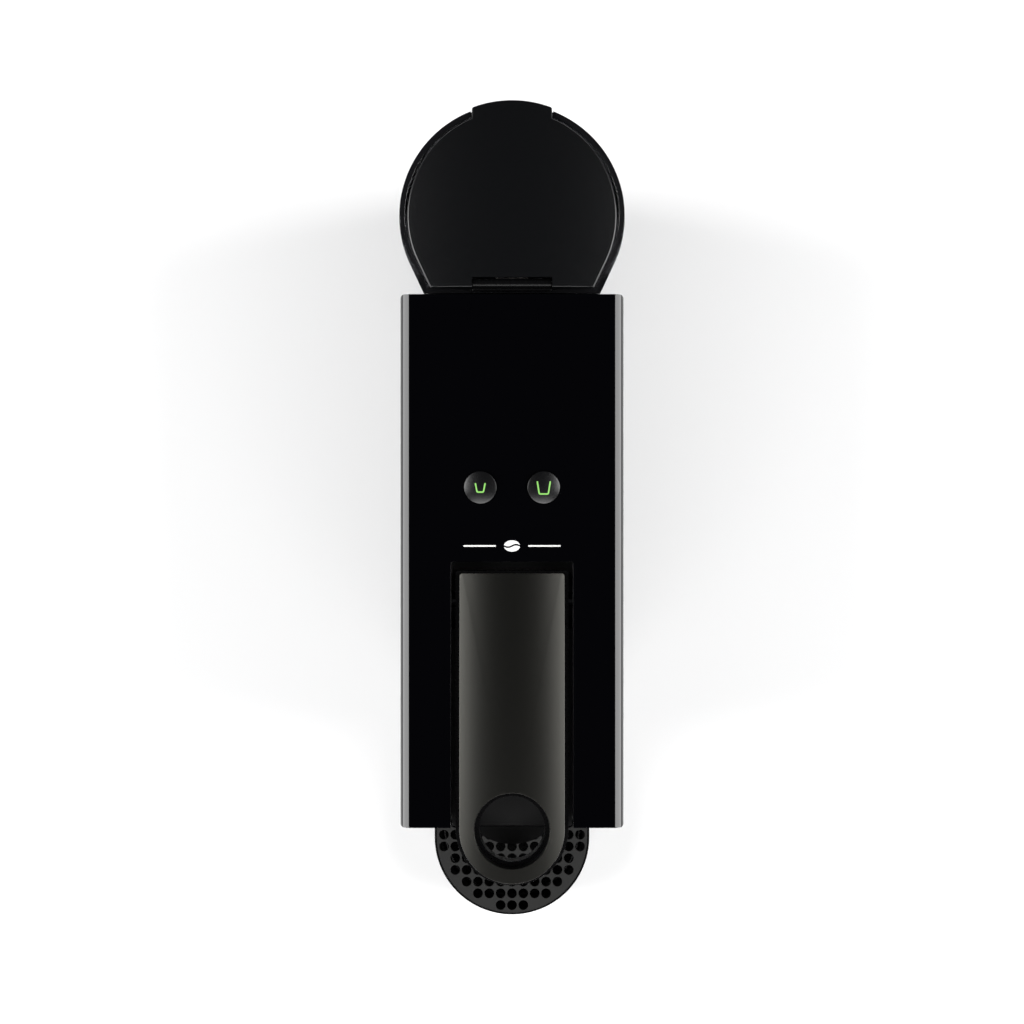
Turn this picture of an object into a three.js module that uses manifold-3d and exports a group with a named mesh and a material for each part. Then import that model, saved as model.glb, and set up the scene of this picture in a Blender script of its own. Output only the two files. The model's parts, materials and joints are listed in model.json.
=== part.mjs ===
// A slim pod coffee machine: a tall gloss case with an overhanging brew head, a lever on top that
// works the brew unit, a round water tank behind, and a pod bin with a drip tray in front.
// Millimetres, +Z up, front towards -Y. The origin is on the table, under the middle of the outline.
import * as THREE from "three";
import { mergeVertices } from "three/addons/utils/BufferGeometryUtils.js";
import Module from "manifold-3d";

const wasm = await Module();
wasm.setup();

// ---------------------------------------------------------------- driving dimensions
const GAP = 0.3; // between fixed pieces that touch
const CASE = { half: 41.5, back: 93.2, front: -104.4, top: 200, bottom: 8, wall: 2.6, edge: 4.2 };
const SKIN_UNDER = CASE.top - CASE.wall;
const INSIDE_HALF = CASE.half - CASE.wall;
const HEAD_BOTTOM = 118;
const LOWER_FRONT = -20; // front of the case below the head
const HEAD_FILLET = 12;
const BASE = { bottom: 2.5, top: 7.5, half: 41, binHalf: 33, front: -90.6 };

const TANK = { y: 122.4, radius: 42, face: 94.2, bottom: 20.4, rim: 197.4, wall: 2.2, taper: 0.93 };
const TANK_TANGENT = 25.4 * THREE.MathUtils.DEG2RAD; // where the round plan turns into straight flanks
const LID = { inset: 3.1, under: 197.2, top: 200.6, drop: 2.3, front: 95.8, tabHalf: 14.9, back: 165 };
const LID_PIN = { y: 97.4, z: 197, radius: 0.9, bore: 1.2, barrel: 1.9, half: 22 };
const VALVE = { y: 112, neck: 5.6 };

const RECESS = { half: 22.8, back: -5.8, wall: 1.6, step: -33, frontFloor: 184, rearFloor: 178.1 };
const LEVER = { half: 21, rear: -9.3, ringY: -105.1, under: 188, top: 197, fingerHole: 12.2 };
const COVER = { half: 19.5, rear: -10.1, under: 197.3, rearTop: 201.5, frontTop: 204, drop: 2.6, hole: 14 };
const LEVER_OPEN = 75; // degrees
const PIVOT = { y: -20, z: 192, shaft: 2.8 };
const CRANK = { length: 11, closed: -65 }; // the crank points forwards and down by this when closed
const BREW_Z = 160; // height of the brewing axis
const ROCKER = { arm: 28, swing: 60, shaft: 3 };
const ARM_PLANE = [25, 27.6]; // the short arms, beside the brew frame
const LINK_PLANE = [28, 30.4]; // the pull links, outside the short arms
const LINK_PIN = { radius: 1.6, from: 27, to: 31 };
const FORK_PLANE = [14, 18]; // the long arms, inside the brew frame
const SHAFT_HALF = 27.4;

const BUTTON = { x: 11.75, y: 21.6, radius: 5.85, hole: 6.2, stem: 2.6, top: 201.2, flange: 7.4 };
const COWL = { y: -92, radius: 21, wall: 2, top: 183.4, step: 1.6 };
const SEAM = { front: -106.3, back: -104.3, depth: 4 }; // the groove across the cowl's top
const SPOUT = { y: -104.8, bottom: 110.2, top: 142 };

const TRAY = { y: -130.9, radius: 34.1, back: -93.6, bottom: 5.2, rim: 39.2, ledge: 37, wall: 2.2 };
const GRID = { radius: 33.15, bottom: 37.3, top: 40, pitchX: 5, pitchY: 5.17, hole: 2.15, front: -160.7 };
const GRID_ROWS = [1, 3, 4, 5, 5, 6, 6, 6, 6, 6, 6, 6, 6]; // holes each side of the middle, front to back
const BIN = { half: 33.4, front: -93.2, back: -24, bottom: 7.8, top: 108, wall: 2, corner: 3 };
const TONGUE = { half: 29, bottom: 2.8, top: 4.8 }; // the bin's tongue under the drip tray

const PUMP_Z = 34;
const PUMP = { front: -13, back: 79 };
const FLOW = { x: 24, y: 70, bottom: 72, top: 86, radius: 13, outletY: 76 };
const HOSE = { radius: 3.4, inner: 2.2, nipple: 1.9, bore: 1, bend: 7 };
const HEATER = { x0: -23, x1: 23, y0: 16, y1: 84, z0: 112, z1: 138, inlet: { x: 12, y: 24 }, outletY: 26 };
const GLAND = { x: -32, z: 14 };
const HOSE_HOLE = { x: 27, z: 15 };

// The linkage. The crank on the lever's shaft, a pull link and the rocker's short arm form a
// near-parallel chain, so all its pins follow from the pivot, the crank and the rocker's arm.
const rad = THREE.MathUtils.degToRad;
const crankAt = (degrees) => ({
  y: PIVOT.y - CRANK.length * Math.cos(rad(degrees)),
  z: PIVOT.z + CRANK.length * Math.sin(rad(degrees)),
});
const crankClosed = crankAt(CRANK.closed);
const crankOpen = crankAt(CRANK.closed + LEVER_OPEN);
const SHORT_ARM = (crankOpen.z - crankClosed.z) / (2 * Math.sin(rad(ROCKER.swing / 2)));
const linkY = (crankClosed.y + crankOpen.y) / 2;
const half = rad(ROCKER.swing / 2);
const rocker = { y: linkY + SHORT_ARM * Math.cos(half), z: BREW_Z - ROCKER.arm * Math.cos(half) };
const shortPin = { y: linkY, z: rocker.z - SHORT_ARM * Math.sin(half) };
const forkPin = { y: rocker.y - ROCKER.arm * Math.sin(half), z: BREW_Z };

// ---------------------------------------------------------------- materials
const finish = (color, roughness, metalness = 0, extra = {}) =>
  new THREE.MeshStandardMaterial({ color, roughness, metalness, ...extra });
const GLOSS_BLACK = finish(0x050506, 0.08);
const MATT_BLACK = finish(0x141414, 0.55);
const SATIN_GREY = finish(0x3a3a39, 0.4);
const SMOKE_CLEAR = finish(0x1c1c1e, 0.1, 0, { transparent: true, opacity: 0.6 });
const RUBBER = finish(0x0c0c0c, 0.85);
const STEEL = finish(0xb8b8b6, 0.3, 1);
const ALUMINIUM = finish(0xa6a8aa, 0.45, 1);
const NATURAL_PLASTIC = finish(0xcfcabd, 0.5);
const GREEN_BOARD = finish(0x1f5a34, 0.5);
const SILICONE = finish(0xd8d8d2, 0.4);

// ---------------------------------------------------------------- solids
/** A closed geometry as a solid; shared vertices are merged and inverted faces are turned out. */
function solid(geometry) {
  const bare = geometry.clone();
  bare.deleteAttribute("normal");
  bare.deleteAttribute("uv");
  const merged = mergeVertices(bare, 1e-4);
  const vertProperties = merged.attributes.position.array;
  const corners = merged.index.array;
  const kept = [];
  for (let i = 0; i < corners.length; i += 3) {
    const [a, b, c] = [corners[i], corners[i + 1], corners[i + 2]];
    if (a !== b && b !== c && c !== a) kept.push(a, b, c);
  }
  const build = (triVerts) =>
    new wasm.Manifold(new wasm.Mesh({ numProp: 3, vertProperties, triVerts: new Uint32Array(triVerts) }));
  const made = build(kept);
  return made.volume() > 0 ? made : build(kept.reverse());
}

const extrude = (shape, depth, curveSegments) =>
  new THREE.ExtrudeGeometry(shape, { depth, bevelEnabled: false, curveSegments });

/** A plan outline (x, y) standing from z0 to z1. */
const prismZ = (shape, z0, z1, curves = 6) => solid(extrude(shape, z1 - z0, curves).translate(0, 0, z0));

/** A side outline (y, z) running from x0 to x1. */
function prismX(shape, x0, x1, curves = 6) {
  const turn = new THREE.Matrix4().set(0, 0, 1, x0, 1, 0, 0, 0, 0, 1, 0, 0, 0, 0, 0, 1);
  return solid(extrude(shape, x1 - x0, curves).applyMatrix4(turn));
}

/** A front outline (x, z) running from y0 to y1. */
const prismY = (shape, y0, y1, curves = 6) =>
  solid(extrude(shape, y1 - y0, curves).rotateX(Math.PI / 2).translate(0, y1, 0));

function box(x0, x1, y0, y1, z0, z1) {
  const block = new THREE.BoxGeometry(x1 - x0, y1 - y0, z1 - z0);
  return solid(block.translate((x0 + x1) / 2, (y0 + y1) / 2, (z0 + z1) / 2));
}

/** Round bars along each axis, between two places on it. */
const bar = (r, from, to, sides) => new THREE.CylinderGeometry(r, r, to - from, sides);
const rodZ = (x, y, r, z0, z1, sides = 16) =>
  solid(bar(r, z0, z1, sides).rotateX(Math.PI / 2).translate(x, y, (z0 + z1) / 2));
const rodY = (x, z, r, y0, y1, sides = 16) => solid(bar(r, y0, y1, sides).translate(x, (y0 + y1) / 2, z));
const rodX = (y, z, r, x0, x1, sides = 16) =>
  solid(bar(r, x0, x1, sides).rotateZ(Math.PI / 2).translate((x0 + x1) / 2, y, z));

/** A profile of [radius, height] pairs turned about Z, or about Y with its heights along +Y. */
const turned = (pairs, sides) =>
  new THREE.LatheGeometry(pairs.map(([r, h]) => new THREE.Vector2(r, h)), sides);
const turnedZ = (pairs, x = 0, y = 0, sides = 20) =>
  solid(turned(pairs, sides).rotateX(Math.PI / 2).translate(x, y, 0));
const turnedY = (pairs, x = 0, z = 0, sides = 20) => solid(turned(pairs, sides).translate(x, 0, z));

/** A round tube or wire swept along a curve. */
function swept(curve, radius, steps, sides = 8) {
  const section = new THREE.Shape();
  section.absarc(0, 0, radius, 0, 2 * Math.PI);
  const options = { extrudePath: curve, steps, curveSegments: sides / 2, bevelEnabled: false };
  return solid(new THREE.ExtrudeGeometry(section, options));
}

/** A hollow hose along straight runs with rounded bends; its straight ends sleeve over the nipples. */
function hose(points, steps = 16) {
  const corners = points.map((p) => new THREE.Vector3(...p));
  const path = new THREE.CurvePath();
  let from = corners[0];
  for (let i = 1; i < corners.length - 1; i++) {
    const bend = (to) => {
      const reach = Math.min(HOSE.bend, corners[i].distanceTo(to) / 2);
      return corners[i].clone().lerp(to, reach / corners[i].distanceTo(to));
    };
    const [enter, leave] = [bend(corners[i - 1]), bend(corners[i + 1])];
    if (from.distanceTo(enter) > 0.01) path.add(new THREE.LineCurve3(from, enter));
    path.add(new THREE.QuadraticBezierCurve3(enter, corners[i], leave));
    from = leave;
  }
  path.add(new THREE.LineCurve3(from, corners.at(-1)));
  return swept(path, HOSE.radius, steps).subtract(swept(path, HOSE.inner, steps));
}

/** A compression spring: a helix about Z at (x, y) between two heights. */
function spring(x, y, z0, z1, coilRadius, wireRadius, turns) {
  class Helix extends THREE.Curve {
    getPoint(t) {
      const angle = 2 * Math.PI * turns * t;
      const height = z0 + wireRadius + (z1 - z0 - 2 * wireRadius) * t;
      return new THREE.Vector3(x + coilRadius * Math.cos(angle), y + coilRadius * Math.sin(angle), height);
    }
  }
  return swept(new Helix(), wireRadius, Math.round(turns * 9), 6);
}

const joined = (...solids) => solids.reduce((a, b) => a.add(b));
const cut = (from, ...tools) => tools.reduce((a, b) => a.subtract(b), from);
const bothSides = (make) => make(1).add(make(-1));

/** A box between x = a and x = b on the right, or its mirror image on the left. */
const sideBox = (side, a, b, y0, y1, z0, z1) =>
  box(Math.min(side * a, side * b), Math.max(side * a, side * b), y0, y1, z0, z1);
const sideRod = (side, y, z, r, a, b, sides) =>
  rodX(y, z, r, Math.min(side * a, side * b), Math.max(side * a, side * b), sides);

/** A named mesh of a solid. */
function piece(name, body, material) {
  const { numProp, vertProperties, triVerts } = body.getMesh();
  const vertices = new Float32Array((vertProperties.length / numProp) * 3);
  for (let i = 0; i < vertices.length / 3; i++)
    vertices.set(vertProperties.subarray(i * numProp, i * numProp + 3), i * 3);
  const geometry = new THREE.BufferGeometry();
  geometry.setAttribute("position", new THREE.BufferAttribute(vertices, 3));
  geometry.setIndex(new THREE.BufferAttribute(triVerts, 1));
  geometry.computeVertexNormals();
  const mesh = new THREE.Mesh(geometry, material);
  mesh.name = name;
  return mesh;
}

const group = (...members) => new THREE.Group().add(...members);

// ---------------------------------------------------------------- outlines
const outline = (points) => new THREE.Shape(points.map(([a, b]) => new THREE.Vector2(a, b)));

/** A rectangle with rounded corners. */
function roundedRect(x0, x1, y0, y1, r) {
  const s = new THREE.Shape();
  s.absarc(x1 - r, y0 + r, r, -Math.PI / 2, 0);
  s.absarc(x1 - r, y1 - r, r, 0, Math.PI / 2);
  s.absarc(x0 + r, y1 - r, r, Math.PI / 2, Math.PI);
  s.absarc(x0 + r, y0 + r, r, Math.PI, 1.5 * Math.PI);
  s.closePath();
  return s;
}

/** The case's front outline: straight sides, a flat top and rounded top edges. */
function archOutline(halfWidth, z0, z1, r) {
  const s = new THREE.Shape();
  s.moveTo(-halfWidth, z0);
  s.lineTo(halfWidth, z0);
  s.absarc(halfWidth - r, z1 - r, r, 0, Math.PI / 2);
  s.absarc(-halfWidth + r, z1 - r, r, Math.PI / 2, Math.PI);
  s.closePath();
  return s;
}

/** A plan that is straight at y = back and ends in a half circle in front. */
function tongueOutline(radius, centreY, back) {
  const s = new THREE.Shape();
  s.moveTo(radius, back);
  s.lineTo(-radius, back);
  s.absarc(0, centreY, radius, Math.PI, 2 * Math.PI);
  s.closePath();
  return s;
}

/** The tank's plan: round behind, with straight flanks in to a flat face; inset offsets it inwards. */
function tankOutline(inset, faceInset = inset) {
  const r = TANK.radius - inset;
  const face = TANK.face + faceInset;
  const a = TANK_TANGENT;
  const tangentX = r * Math.cos(a);
  const tangentY = TANK.y - r * Math.sin(a);
  const faceX = tangentX - (tangentY - face) * Math.tan(a);
  const s = new THREE.Shape();
  s.moveTo(-faceX, face);
  s.lineTo(faceX, face);
  s.absarc(0, TANK.y, r, -a, Math.PI + a);
  s.closePath();
  return s;
}

/** The tank's outline, shrunk from rim to bottom towards the middle of its flat face. */
function taperedTank(inset, z0, z1) {
  const geometry = extrude(tankOutline(inset), 1, 16);
  const p = geometry.attributes.position;
  for (let i = 0; i < p.count; i++) {
    const z = z0 + (z1 - z0) * p.getZ(i);
    const scale = 1 - (1 - TANK.taper) * ((TANK.rim - z) / (TANK.rim - TANK.bottom));
    const face = TANK.face + inset;
    p.setXYZ(i, p.getX(i) * scale, face + (p.getY(i) - face) * scale, z);
  }
  return solid(geometry);
}

/** Everything below a shallow barrel vault along Y, which falls by drop at x = +-halfWidth. */
function underVault(halfWidth, drop, top, z0, y0, y1) {
  const radius = (halfWidth ** 2 + drop ** 2) / (2 * drop);
  const spread = Math.asin((halfWidth + 3) / radius);
  const s = new THREE.Shape();
  s.moveTo(-halfWidth - 3, z0);
  s.lineTo(halfWidth + 3, z0);
  s.absarc(0, top - radius, radius, Math.PI / 2 - spread, Math.PI / 2 + spread);
  s.closePath();
  return prismY(s, y0, y1, 6);
}

/** A flat link in the (y, z) plane with an eye at each end. */
function linkPlate(a, ra, b, rb, x0, x1, width) {
  const along = new THREE.Vector2(b.y - a.y, b.z - a.z).normalize();
  const across = new THREE.Vector2(-along.y, along.x).multiplyScalar(width / 2);
  const strip = outline([
    [a.y + across.x, a.z + across.y],
    [b.y + across.x, b.z + across.y],
    [b.y - across.x, b.z - across.y],
    [a.y - across.x, a.z - across.y],
  ]);
  return joined(prismX(strip, x0, x1), rodX(a.y, a.z, ra, x0, x1), rodX(b.y, b.z, rb, x0, x1));
}

/** A pair of planes on the right, or their mirror image on the left, in rising order. */
const plane = (side, [near, far]) => (side > 0 ? [near, far] : [-far, -near]);

/** A short arm from a shaft to the pin that the pull link turns on. */
const shortArm = (side, shaft, pin) =>
  joined(
    linkPlate(shaft, 4.5, pin, 2.8, ...plane(side, ARM_PLANE), 5),
    sideRod(side, pin.y, pin.z, LINK_PIN.radius, LINK_PIN.from, LINK_PIN.to, 10),
  );

// ---------------------------------------------------------------- casing and base
function casing() {
  const silhouette = new THREE.Shape();
  silhouette.moveTo(CASE.back, CASE.bottom);
  silhouette.lineTo(CASE.back, CASE.top);
  silhouette.lineTo(CASE.front, CASE.top);
  silhouette.lineTo(CASE.front, HEAD_BOTTOM + 3);
  silhouette.absarc(CASE.front + 3, HEAD_BOTTOM + 3, 3, Math.PI, 1.5 * Math.PI);
  const fillet = { y: LOWER_FRONT - HEAD_FILLET, z: HEAD_BOTTOM - HEAD_FILLET };
  silhouette.absarc(fillet.y, fillet.z, HEAD_FILLET, Math.PI / 2, 0, true);
  silhouette.lineTo(LOWER_FRONT, CASE.bottom);
  silhouette.closePath();

  const block = prismY(archOutline(CASE.half, CASE.bottom, CASE.top, CASE.edge), CASE.front, CASE.back, 3);
  const corners = prismZ(roundedRect(-CASE.half, CASE.half, CASE.front, CASE.back, 1.6), 0, 210, 2);
  const inside = prismY(archOutline(INSIDE_HALF, -5, SKIN_UNDER, 1.6), CASE.front + CASE.wall, 120, 2);
  const leverRecess = box(-RECESS.half, RECESS.half, -120, RECESS.back, 100, 210);
  const buttonHoles = bothSides((s) => rodZ(s * BUTTON.x, BUTTON.y, BUTTON.hole, 190, 210, 20));
  const shell = block.intersect(corners).intersect(prismX(silhouette, -60, 60, 4));
  const boardRibs = bothSides((s) => sideBox(s, 26.3, 28.3, 10, 34, 181.4, SKIN_UNDER + 1));
  const hollowShell = cut(shell, inside, leverRecess, buttonHoles);
  return piece("main_housing", joined(hollowShell, boardRibs), GLOSS_BLACK);
}

/** A post on the base plate, ending just under what it carries. */
const post = (x0, x1, y0, y1, carries) => box(x0, x1, y0, y1, BASE.top - 1, carries - GAP);

function basePlate() {
  const plate = joined(
    box(-BASE.half, BASE.half, LOWER_FRONT, CASE.back - 0.4, BASE.bottom, BASE.top),
    box(-BASE.binHalf, BASE.binHalf, BASE.front, LOWER_FRONT + 1, BASE.bottom, BASE.top),
    prismZ(dockOutline(0), BASE.bottom, BASE.top, 10),
    post(20.5, 24.5, 20, 24, HEATER.z0),
    post(20.5, 24.5, 48, 52, HEATER.z0),
    post(-24.5, -20.5, 33, 37, HEATER.z0),
    post(-24.5, -20.5, 52, 56, HEATER.z0),
    post(29, 34, 58, 63, FLOW.bottom),
    post(-38.4, -35.7, 10, 15, 104),
    post(-38.4, -35.7, 70, 75, 104),
  );
  return piece("base_plate", plate, MATT_BLACK);
}

/** The dock's plan: a circle a little smaller than the tank's foot, with a neck to the case. */
function dockOutline(inset) {
  const r = 36.5 - inset;
  const neck = 25 - inset;
  const angle = Math.acos(neck / r);
  const s = new THREE.Shape();
  s.moveTo(-neck, CASE.back - 1 + inset);
  s.lineTo(neck, CASE.back - 1 + inset);
  s.absarc(0, 120, r, -angle, Math.PI + angle);
  s.closePath();
  return s;
}

function feet() {
  const spots = {
    front_left: [-24, -80], front_right: [24, -80], rear_left: [-21, 138], rear_right: [21, 138],
  };
  const profile = [[0, 0], [6, 0], [7, 0.8], [7, BASE.bottom - GAP], [0, BASE.bottom - GAP]];
  return Object.entries(spots).map(([where, [x, y]]) => {
    const foot = piece(`foot_${where}`, turnedZ(profile, 0, 0, 16), RUBBER);
    foot.position.set(x, y, 0);
    return foot;
  });
}

function rearPanel() {
  const y0 = CASE.back - 2.8;
  const y1 = CASE.back - 0.4;
  const vents = Array.from({ length: 6 }, (_, i) => box(-18, 18, y0 - 1, y1 + 1, 140 + 7 * i, 143 + 7 * i));
  const screwHoles = bothSides((s) =>
    joined(rodY(s * 30, 186, 1.9, y0 - 1, y1 + 1, 10), rodY(s * 30, 186, 3.8, y0 + 0.8, y1 + 1, 14)),
  );
  const panel = cut(
    box(-INSIDE_HALF + GAP, INSIDE_HALF - GAP, y0, y1, BASE.top + GAP, SKIN_UNDER - 2),
    rodY(GLAND.x, GLAND.z, 4.6, y0 - 1, y1 + 1),
    rodY(HOSE_HOLE.x, HOSE_HOLE.z, 4.4, y0 - 1, y1 + 1, 12),
    screwHoles,
    ...vents,
  );
  const screws = [1, -1].map((side) => {
    const profile = [[0, -10], [1.5, -10], [1.5, 0], [3.4, 0], [3.4, 1], [2.6, 1.5], [0, 1.5]];
    const body = turnedY(profile, 0, 0, 12);
    const screw = piece(`rear_screw_${side > 0 ? "right" : "left"}`, body, STEEL);
    screw.position.set(side * 30, y0 + 1.1, 186);
    return screw;
  });
  return [piece("rear_panel", panel, MATT_BLACK), ...screws];
}

function cordGland() {
  const profile = [
    [3, 88], [5.6, 88], [5.6, 90.1], [4.3, 90.1], [4.3, 93.1], [5.4, 93.1], [4.6, 98.5], [3, 98.5], [3, 88],
  ];
  return piece("cord_gland", turnedY(profile, GLAND.x, GLAND.z, 16), RUBBER);
}

function headUnderside() {
  const wallHalf = INSIDE_HALF - GAP;
  const cover = cut(
    box(-wallHalf, wallHalf, CASE.front + 3, -16.8, HEAD_BOTTOM + 0.2, HEAD_BOTTOM + 2.4),
    prismZ(roundedRect(-21, 21, -92, -58, 4), 110, 130, 3),
    box(-RECESS.half, RECESS.half, -110, -98.8, 110, 130),
  );
  const bayWall = box(-wallHalf, wallHalf, -19.6, -17.2, BASE.top + GAP, HEAD_BOTTOM - 0.2);
  return [piece("head_bottom_cover", cover, MATT_BLACK), piece("bay_wall", bayWall, MATT_BLACK)];
}

function outletCowl() {
  const flangeFront = CASE.front + 0.5;
  const plan = (radius, halfFlange, flangeY) => {
    const reach = Math.sqrt(radius ** 2 - (flangeY - COWL.y) ** 2);
    const start = Math.atan2(flangeY - COWL.y, -reach);
    const s = new THREE.Shape();
    s.moveTo(halfFlange, -100);
    s.lineTo(-halfFlange, -100);
    s.lineTo(-halfFlange, flangeY);
    s.absarc(0, COWL.y, radius, start, -Math.PI - start);
    s.lineTo(halfFlange, flangeY);
    s.closePath();
    return s;
  };
  const inner = COWL.radius - COWL.wall;
  const innerReach = Math.sqrt(inner ** 2 - 8.2 ** 2);
  const body = cut(
    prismZ(plan(COWL.radius, RECESS.half - 0.4, flangeFront), HEAD_BOTTOM + 0.2, COWL.top, 10),
    prismZ(plan(inner, innerReach, COWL.y - 8.2), HEAD_BOTTOM + 2.2, COWL.top - SEAM.depth - COWL.wall, 10),
    box(-30, 30, -140, SEAM.front, COWL.top - COWL.step, 190),
    box(-30, 30, SEAM.front, SEAM.back, COWL.top - SEAM.depth, 190),
    rodZ(0, SPOUT.y, 6, 110, 130),
  );
  return piece("outlet_cowl", body, MATT_BLACK);
}

function coffeeSpout() {
  const profile = [
    [1.8, SPOUT.bottom], [3.4, SPOUT.bottom], [4.4, SPOUT.bottom + 2],
    [4.4, HEAD_BOTTOM - 1], [5.6, HEAD_BOTTOM + 1],
    [5.6, SPOUT.top], [4.6, SPOUT.top], [4.6, 124], [1.8, HEAD_BOTTOM], [1.8, SPOUT.bottom],
  ];
  return piece("coffee_spout", turnedZ(profile, 0, SPOUT.y), MATT_BLACK);
}

function leverChannel() {
  const { half: inner, back, wall, step, frontFloor, rearFloor } = RECESS;
  const face = inner - 0.2;
  const front = CASE.front + 3;
  const underSkin = SKIN_UNDER - GAP;
  const flanks = bothSides((s) =>
    joined(
      sideBox(s, face, face + wall, front, step, frontFloor, underSkin),
      sideBox(s, face, face + wall, step, back + wall, rearFloor, underSkin),
    ),
  );
  const body = joined(
    box(-face - 0.1, face + 0.1, front, step + wall, frontFloor, frontFloor + 2),
    box(-inner + 0.3, inner - 0.3, CASE.front - 1, front + 1, frontFloor, frontFloor + 2),
    box(-face - 0.1, face + 0.1, step, step + wall, rearFloor, frontFloor + 2),
    box(-face - 0.1, face + 0.1, step, back + wall, rearFloor, rearFloor + 2),
    box(-face - 0.1, face + 0.1, back + 0.2, back + 1.8, rearFloor, underSkin),
    flanks,
  );
  const podSlot = prismZ(roundedRect(-19.6, 19.6, -91, -60, 5), 170, 190, 4);
  const shaftHole = rodX(PIVOT.y, PIVOT.z, PIVOT.shaft + GAP, -40, 40);
  return piece("lever_channel", cut(body, podSlot, shaftHole), MATT_BLACK);
}

// ---------------------------------------------------------------- lever and its shaft
function lever() {
  const pocket = prismZ(roundedRect(-17, 17, -86, -29, 4), 180, 193.5, 3);
  const frame = cut(
    joined(
      prismZ(tongueOutline(LEVER.half, LEVER.ringY, LEVER.rear), LEVER.under, LEVER.top, 12),
      rodX(PIVOT.y, PIVOT.z, 5, -LEVER.half, LEVER.half, 20),
    ),
    pocket,
    rodZ(0, LEVER.ringY, LEVER.fingerHole, 180, 200, 28),
    rodX(PIVOT.y, PIVOT.z, PIVOT.shaft + 0.3, -40, 40),
  );

  const slope = Math.atan2(COVER.frontTop - COVER.rearTop, COVER.rear - LEVER.ringY + COVER.half);
  const vault = underVault(COVER.half, COVER.drop, 0, -20, -140, 20)
    .rotate([-THREE.MathUtils.radToDeg(slope), 0, 0])
    .translate([0, COVER.rear, COVER.rearTop]);
  const cover = cut(
    prismZ(tongueOutline(COVER.half, LEVER.ringY, COVER.rear), COVER.under, 206, 12).intersect(vault),
    rodZ(0, LEVER.ringY, COVER.hole, 190, 210, 28),
  );

  const shaft = joined(
    rodX(PIVOT.y, PIVOT.z, PIVOT.shaft, -SHAFT_HALF, SHAFT_HALF),
    bothSides((s) => shortArm(s, PIVOT, crankClosed)),
  );
  return [
    piece("lever_frame", frame, MATT_BLACK),
    piece("lever_cover", cover, SATIN_GREY),
    piece("lever_shaft", shaft, STEEL),
  ];
}

function pullLinks() {
  return [1, -1].map((side) => {
    const plate = cut(
      linkPlate(crankClosed, 3.1, shortPin, 4.8, ...plane(side, LINK_PLANE), 4),
      rodX(crankClosed.y, crankClosed.z, 1.9, -40, 40, 12),
      rodX(shortPin.y, shortPin.z, 3.1, -40, 40, 14),
    );
    return piece(`pull_link_${side > 0 ? "right" : "left"}`, plate, STEEL);
  });
}

// ---------------------------------------------------------------- brew unit
function brewFrame() {
  const bottom = 126;
  const top = 177.5;
  const cheek = (s) =>
    joined(
      sideBox(s, 20.5, 22.7, -97, 8, bottom, top),
      sideBox(s, 21.5, 22.7, -97, -93, HEAD_BOTTOM + 2.7, bottom + 1),
      sideBox(s, 21.5, 22.7, -30, -20, HEAD_BOTTOM + 2.7, bottom + 1),
    );
  const frame = cut(
    joined(
      bothSides(cheek),
      box(-22.7, 22.7, -97, -92.6, bottom, top),
      box(-22.7, 22.7, 5, 8, 140, top),
      box(-22.7, 22.7, -54, 4, bottom, bottom + 2.4),
    ),
    rodY(0, BREW_Z, 14.9, -99, -92, 24),
    rodY(0, BREW_Z, 2.8, 4, 10, 12),
    rodX(rocker.y, rocker.z, ROCKER.shaft + 0.3, -40, 40),
    prismX(roundedRect(-8, 2, 146, 170, 3), -40, 40, 2),
  );
  return piece("brew_frame", frame, NATURAL_PLASTIC);
}

function extractionPlate() {
  const disc = rodY(0, BREW_Z, 14.6, -96.8, -93, 24);
  const stud = (x, z) => box(x - 1, x + 1, -93.5, -92.2, z - 1, z + 1);
  const studs = [];
  for (let i = -2; i <= 2; i++)
    for (let j = -2; j <= 2; j++)
      if (Math.hypot(i, j) < 2.3) studs.push(stud(4 * i, BREW_Z + 4 * j));
  return piece("extraction_plate", joined(disc, ...studs), STEEL);
}

function capsuleCage() {
  const rim = -91.6;
  const back = -61.2;
  const cup = turnedY(
    [
      [15.6, rim], [16, rim], [16, rim + 1.3], [18, rim + 1.3], [18, rim], [18.5, rim],
      [18.5, back], [4, back], [4, back - 4], [15.6, back - 4], [15.6, rim],
    ],
    0, BREW_Z, 24,
  );
  const pads = bothSides((s) => sideBox(s, 17.8, 20.2, -86, -66, BREW_Z - 3, BREW_Z + 3));
  const chamber = rodY(0, BREW_Z, 15.6, -90, back - 4.1, 24);
  const seal = turnedY(
    [[16.2, rim - 0.3], [17.8, rim - 0.3], [17.8, rim + 1], [16.2, rim + 1], [16.2, rim - 0.3]],
    0, BREW_Z, 24,
  );

  const needle = (angle) => {
    const cone = new THREE.ConeGeometry(1.1, 5, 4).rotateX(Math.PI);
    const [x, z] = [6 * Math.cos(angle), BREW_Z + 6 * Math.sin(angle)];
    return solid(cone.translate(x, -69.4, z));
  };
  const plate = joined(
    rodY(0, BREW_Z, 9, -67.2, -65.5, 20),
    ...[0, 1, 2].map((i) => needle(Math.PI / 2 + (i * 2 * Math.PI) / 3)),
  );

  const grooves = bothSides((s) => sideBox(s, 9.4, 13, forkPin.y - 2.4, forkPin.y + 2.4, 140, 180));
  const carriage = cut(
    box(-12, 12, back + GAP, -25, BREW_Z - 9, BREW_Z + 9),
    grooves,
    rodY(0, BREW_Z, 2.9, -58.5, -20, 14),
  );
  return [
    piece("capsule_cage", cut(joined(cup, pads), chamber), NATURAL_PLASTIC),
    piece("cage_seal", seal, RUBBER),
    piece("piercing_plate", plate, STEEL),
    piece("cage_carriage", carriage, NATURAL_PLASTIC),
  ];
}

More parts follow.
